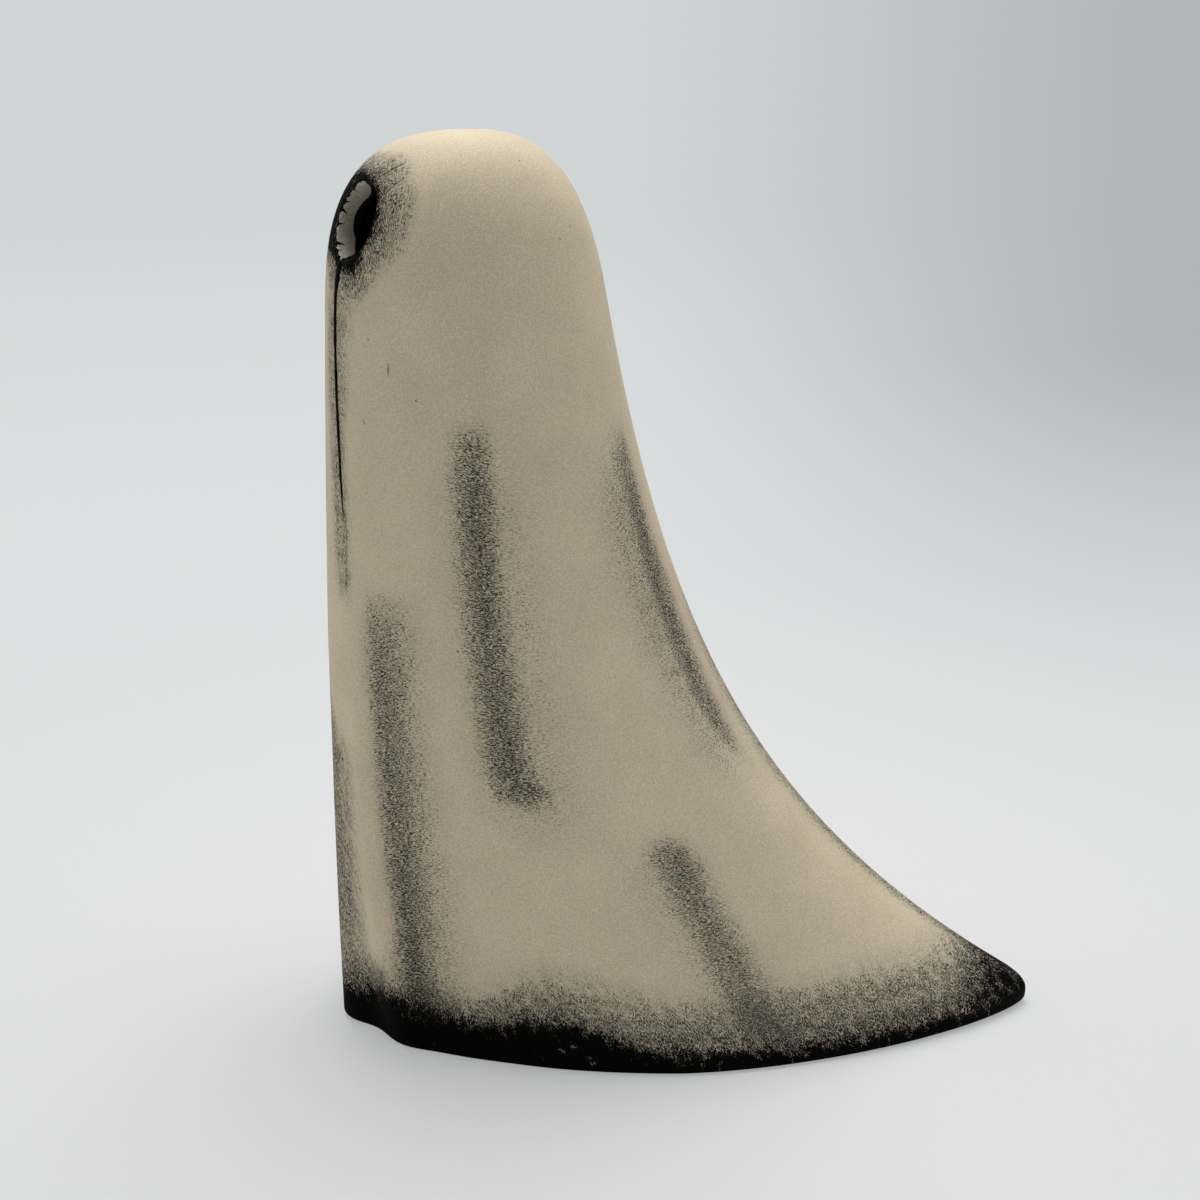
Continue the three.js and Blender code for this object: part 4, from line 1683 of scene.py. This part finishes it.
@dataclass
class FeltSheet:
    """The felt under the base: a thin sheet in the outline of the hem, its edge softly worn."""

    form: ClothForm
    drawn_in: float = 2.6
    thickness: float = 1.2
    edge_round: float = 0.35
    edge_rings: int = 9
    fuzz: float = 0.05
    waves: tuple[Sizes, ...] = ((1.0, 2.1, 0.7, 0.0, -0.4, 1.7, 0.0), (0.6, 5.3, 0.0, 1.1, 0.0, 4.7, 0.3))
    wave_span: float = 3.2
    columns: int = 240
    rings: int = 26
    first_share: float = 0.04
    last_share: float = 0.97

    def build(self) -> Piece:
        """Makes the felt as one closed mesh of rings, drawn together to the middle on both faces.

        Its faces are the outline shrunk towards its middle, its edge is a rounded profile, and
        the fuzz is a sum of crossed waves, which only sinks the surface.

        Returns:
            The felt, in place of its CAD solid.
        """
        bearings = np.linspace(-180.0, 180.0, self.columns + 1)
        section = np.full(bearings.shape, self.form.hem_round)
        outline = self.form.point(section, bearings, 0.0, self.drawn_in)[:, :2]
        middle = np.array([0.0, (outline[:, 1].min() + outline[:, 1].max()) / 2.0])
        turn = np.linspace(-np.pi / 2.0, np.pi / 2.0, self.edge_rings)
        edge_in = self.edge_round * (1.0 - np.cos(turn))
        edge_up = np.where(turn < 0, self.edge_round, self.thickness - self.edge_round)
        edge_up = edge_up + self.edge_round * np.sin(turn)
        shrink = np.linspace(self.first_share, self.last_share, self.rings)
        shares = np.concatenate([shrink, np.ones(turn.size), shrink[::-1]])
        insets, levels = np.pad(edge_in, self.rings, mode="edge"), np.pad(edge_up, self.rings, mode="edge")
        inward = unit(middle - outline)
        flat = middle + (outline + inward * insets[:, None, None] - middle) * shares[:, None, None]
        x, y = flat[..., 0], flat[..., 1]
        ripple = weave(x, y, self.waves) / self.wave_span + 0.5
        sunk = np.where(levels < self.thickness / 2.0, self.fuzz, -self.fuzz)[:, None] * ripple
        draft = MeshDraft(self.form.shift)
        draft.add_tube(np.stack([x, y, levels[:, None] + sunk], axis=-1), np.append(middle, self.fuzz),
                       np.append(middle, self.thickness - self.fuzz))
        felt = draft.to_object("felt_sheet", BLACK_FELT.material("pressed_black_felt"))
        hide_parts("felt_pad")
        return felt


@dataclass(frozen=True)
class StudioFloor:
    """Plain pale floor, whose far part runs into an even backdrop without a horizon.

    The backdrop is dimmer to one side. Its dim part starts at a share of the way round from
    straight back, and fades in over a distance in metres.
    """

    paper: Colour = (0.70, 0.70, 0.70)
    bounce: Colour = (0.86, 0.86, 0.85)
    glow: Colour = (0.725, 0.748, 0.748)
    far_glow: Colour = (0.63, 0.672, 0.672)
    dim_glow: Colour = (0.43, 0.462, 0.465)
    dim_turn: Pair = (-0.03, 0.26)
    camera_back: float = 0.29
    camera_aside: float = 0.01
    dim_reach: float = 0.5
    radius: float = 4000.0
    blend_from: float = 50.0
    blend_to: float = 230.0
    least_glow: float = 0.45
    far_range: Pair = (0.1, 0.9)
    grain_scale: float = 2400.0
    grain_share: float = 0.08
    roughness: float = 0.6
    shine: float = 0.3

    def build(self) -> None:
        """Makes the floor as a flat disc of rings."""
        draft = MeshDraft()
        turn = np.linspace(0.0, TURN, 97)
        reach = np.geomspace(40.0, self.radius, 24)[:, None]
        rings = np.stack([reach * np.cos(turn), reach * np.sin(turn), 0.0 * reach * turn], axis=-1)
        indices = draft.add_rings(rings)
        draft.add_grid(indices, turned=True)
        draft.close(indices[0], np.zeros(3))
        floor = draft.to_object("studio_floor", self.material("pale_studio_floor"))

    def dimness(self, sheet: NodeSheet, ahead: Socket, aside: Socket, back: Socket,
                reach: float) -> Socket:
        """How dim the backdrop is, by the direction in which it is seen.

        Args:
            sheet: The nodes of the floor or of the sky.
            ahead: How far ahead of the camera a place lies.
            aside: How far to the train's side of the camera it lies.
            back: How far behind the figure it lies.
            reach: Over what distance behind the figure the dim part fades in.

        Returns:
            A share from 0 to 1.
        """
        squares = (sheet.math("MULTIPLY", way, way) for way in (ahead, aside))
        level = sheet.math("MAXIMUM", sheet.math("SQRT", sheet.math("ADD", *squares)), 0.05)
        turned = sheet.ramp(sheet.math("DIVIDE", aside, level), *self.dim_turn)
        return sheet.math("MULTIPLY", turned, sheet.ramp(back, 0.0, reach))

    def material(self, name: str) -> Material:
        """Builds the floor's material: diffuse near the figure, and an even glow further away.

        Near the figure the camera sees a share of the glow too, painted light that lightens the shadow.

        Args:
            name: Name of the material.

        Returns:
            The material.
        """
        sheet = NodeSheet.on_material(name)
        place, seen = sheet.coordinates(), sheet.seen()
        parts = sheet.add("SeparateXYZ", {0: place})
        distance = sheet.add("VectorMath", {0: place}, operation="LENGTH").outputs["Value"]
        grain = sheet.ramp(sheet.noise(place, self.grain_scale), 0.3, 0.7, 0.0, self.grain_share)
        colour = sheet.mix(seen, self.bounce, sheet.mix(grain, self.paper, self.dim_glow))
        diffuse = sheet.add("BsdfPrincipled", {"Base Color": colour, "Roughness": self.roughness,
                                               "Specular IOR Level": self.shine})
        back = sheet.math("MULTIPLY", parts.outputs["X"], -1.0)
        dim = self.dimness(sheet, sheet.math("ADD", back, self.camera_back),
                           sheet.math("ADD", parts.outputs["Y"], self.camera_aside), back, self.dim_reach)
        tone = sheet.mix(sheet.ramp(distance, *self.far_range), self.glow, self.far_glow)
        glow = sheet.add("Emission", {"Color": sheet.mix(dim, tone, self.dim_glow)})
        # Painted light: the least share of glow, seen even in the figure's shadow, lightens that shadow.
        far = sheet.ramp(distance, self.blend_from * MM, self.blend_to * MM, self.least_glow, 1.0)
        sheet.finish_blended("OutputMaterial", sheet.math("MULTIPLY", far, seen), diffuse, glow)
        return sheet.owner


@dataclass(frozen=True)
class SoftLamp:
    """A square soft lamp that looks at the figure."""

    name: str
    place: Triple
    size: float
    power: float
    target: Triple = (0.0, -10.55, 53.1)

    def build(self) -> None:
        """Makes the lamp, turns it to its target and hides it from the camera."""
        data = bpy.data.lights.new(self.name, "AREA")
        data.shape, data.size, data.energy = "SQUARE", self.size * MM, self.power
        lamp = bpy.data.objects.new(self.name, data)
        lamp.location = Vector(self.place) * MM
        turned = (Vector(self.target) * MM - lamp.location).to_track_quat("-Z", "Y")
        lamp.rotation_euler = turned.to_euler()
        lamp.visible_camera = False
        bpy.context.scene.collection.objects.link(lamp)


@dataclass(frozen=True)
class Studio:
    """Lamps, sky, floor and the camera at the photograph's viewpoint."""

    target: Triple = (0.0, -10.55, 53.1)
    distance: float = 292.4
    azimuth: float = 90.0
    elevation: float = 16.0
    field_of_view: float = 28.0
    sensor_width: float = 36.0
    sky: Colour = (1.0, 0.98, 0.95)
    sky_strength: float = 0.268
    sky_dim_reach: float = 0.125
    floor: StudioFloor = StudioFloor()
    lamps: tuple[SoftLamp, ...] = (
        SoftLamp("overhead_softbox", (-180.0, 0.0, 620.0), 520.0, 4.28),
        SoftLamp("face_side_softbox", (-120.0, -560.0, 260.0), 380.0, 0.35),
        SoftLamp("train_side_softbox", (-120.0, 560.0, 260.0), 380.0, 0.12),
        SoftLamp("low_front_card", (140.0, 30.0, 44.0), 60.0, 0.009, target=(0.0, 12.0, 4.0)),
    )

    def build(self) -> None:
        """Sets the view transform and makes everything round the figure."""
        bpy.context.scene.view_settings.view_transform = "Standard"
        self.add_camera()
        self.add_sky()
        for lamp in self.lamps:
            lamp.build()
        self.floor.build()

    def add_camera(self) -> None:
        """Puts the camera on its bearing round the target and turns it to look there."""
        azimuth, elevation = math.radians(self.azimuth), math.radians(self.elevation)
        back = Vector((math.sin(azimuth) * math.cos(elevation),
                       -math.cos(azimuth) * math.cos(elevation), math.sin(elevation)))
        data = bpy.data.cameras.new("studio_camera")
        data.sensor_width = self.sensor_width
        data.lens = self.sensor_width / 2.0 / math.tan(math.radians(self.field_of_view) / 2.0)
        data.clip_start, data.clip_end = 0.01, 20.0
        camera = bpy.data.objects.new("studio_camera", data)
        camera.location = (Vector(self.target) + back * self.distance) * MM
        camera.rotation_euler = (-back).to_track_quat("-Z", "Y").to_euler()
        bpy.context.scene.collection.objects.link(camera)
        bpy.context.scene.camera = camera

    def add_sky(self) -> None:
        """Lights everything a little from all round, and shows the camera a pale grey.

        The grey is dimmer to one side, by the same rule of direction as the far floor.
        """
        world = bpy.data.worlds.new("studio_sky")
        bpy.context.scene.world = world
        sheet = NodeSheet(world)
        direction = sheet.add("SeparateXYZ", {0: sheet.add("TexCoord").outputs["Generated"]})
        back = sheet.math("MULTIPLY", direction.outputs["X"], -1.0)
        dim = self.floor.dimness(sheet, back, direction.outputs["Y"], back, self.sky_dim_reach)
        lighting = sheet.add("Background", {"Color": self.sky, "Strength": self.sky_strength})
        grey = sheet.mix(dim, self.floor.far_glow, self.floor.dim_glow)
        shown = sheet.add("Background", {"Color": grey})
        sheet.finish_blended("OutputWorld", sheet.seen(), lighting, shown)


def dress_node(name: str, finish: Material) -> None:
    """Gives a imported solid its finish.

    Args:
        name: Name of the solid's node.
        finish: Its material.
    """
    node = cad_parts[name]
    if not node.material_slots:
        node.data.materials.append(finish)
    for place in node.material_slots:
        place.material = finish
    logging.info("%s: packed solid in %s", name, finish.name)


def place_piece(piece: Piece) -> None:
    """Fixes a new piece to the figure's one body.

    Args:
        piece: The new piece.
    """
    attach(piece, BODY)
    logging.info("%s: %d vertices, %d faces", piece.name, len(piece.data.vertices),
                 len(piece.data.polygons))


def main() -> None:
    """Builds the stage and the figure, and reports each piece."""
    logging.basicConfig(level=logging.INFO, format="%(message)s")
    Studio().build()
    form = ClothForm()
    eyes = tuple(EyeHole(side, form) for side in Side)
    place_piece(GhostShell(form, eyes).build())
    for eye in eyes:
        for piece in EyePaint(eye).build():
            place_piece(piece)
        cup_black = black_gloss(0.7, 0.04).material(f"black_cup_{eye.label}")
        dress_node(f"eye_cup_{eye.label}", cup_black)
    # A dark bead inside the head, where there is only shade, blocks the light between the cups.
    place_piece(CupGapBlocker(form).build())
    place_piece(StrayMarks(form).build())
    place_piece(FeltSheet(form).build())
    dress_node("base_plate", GREY_BOARD.material("pressed_grey_board"))


if __name__ == "__main__":
    main()
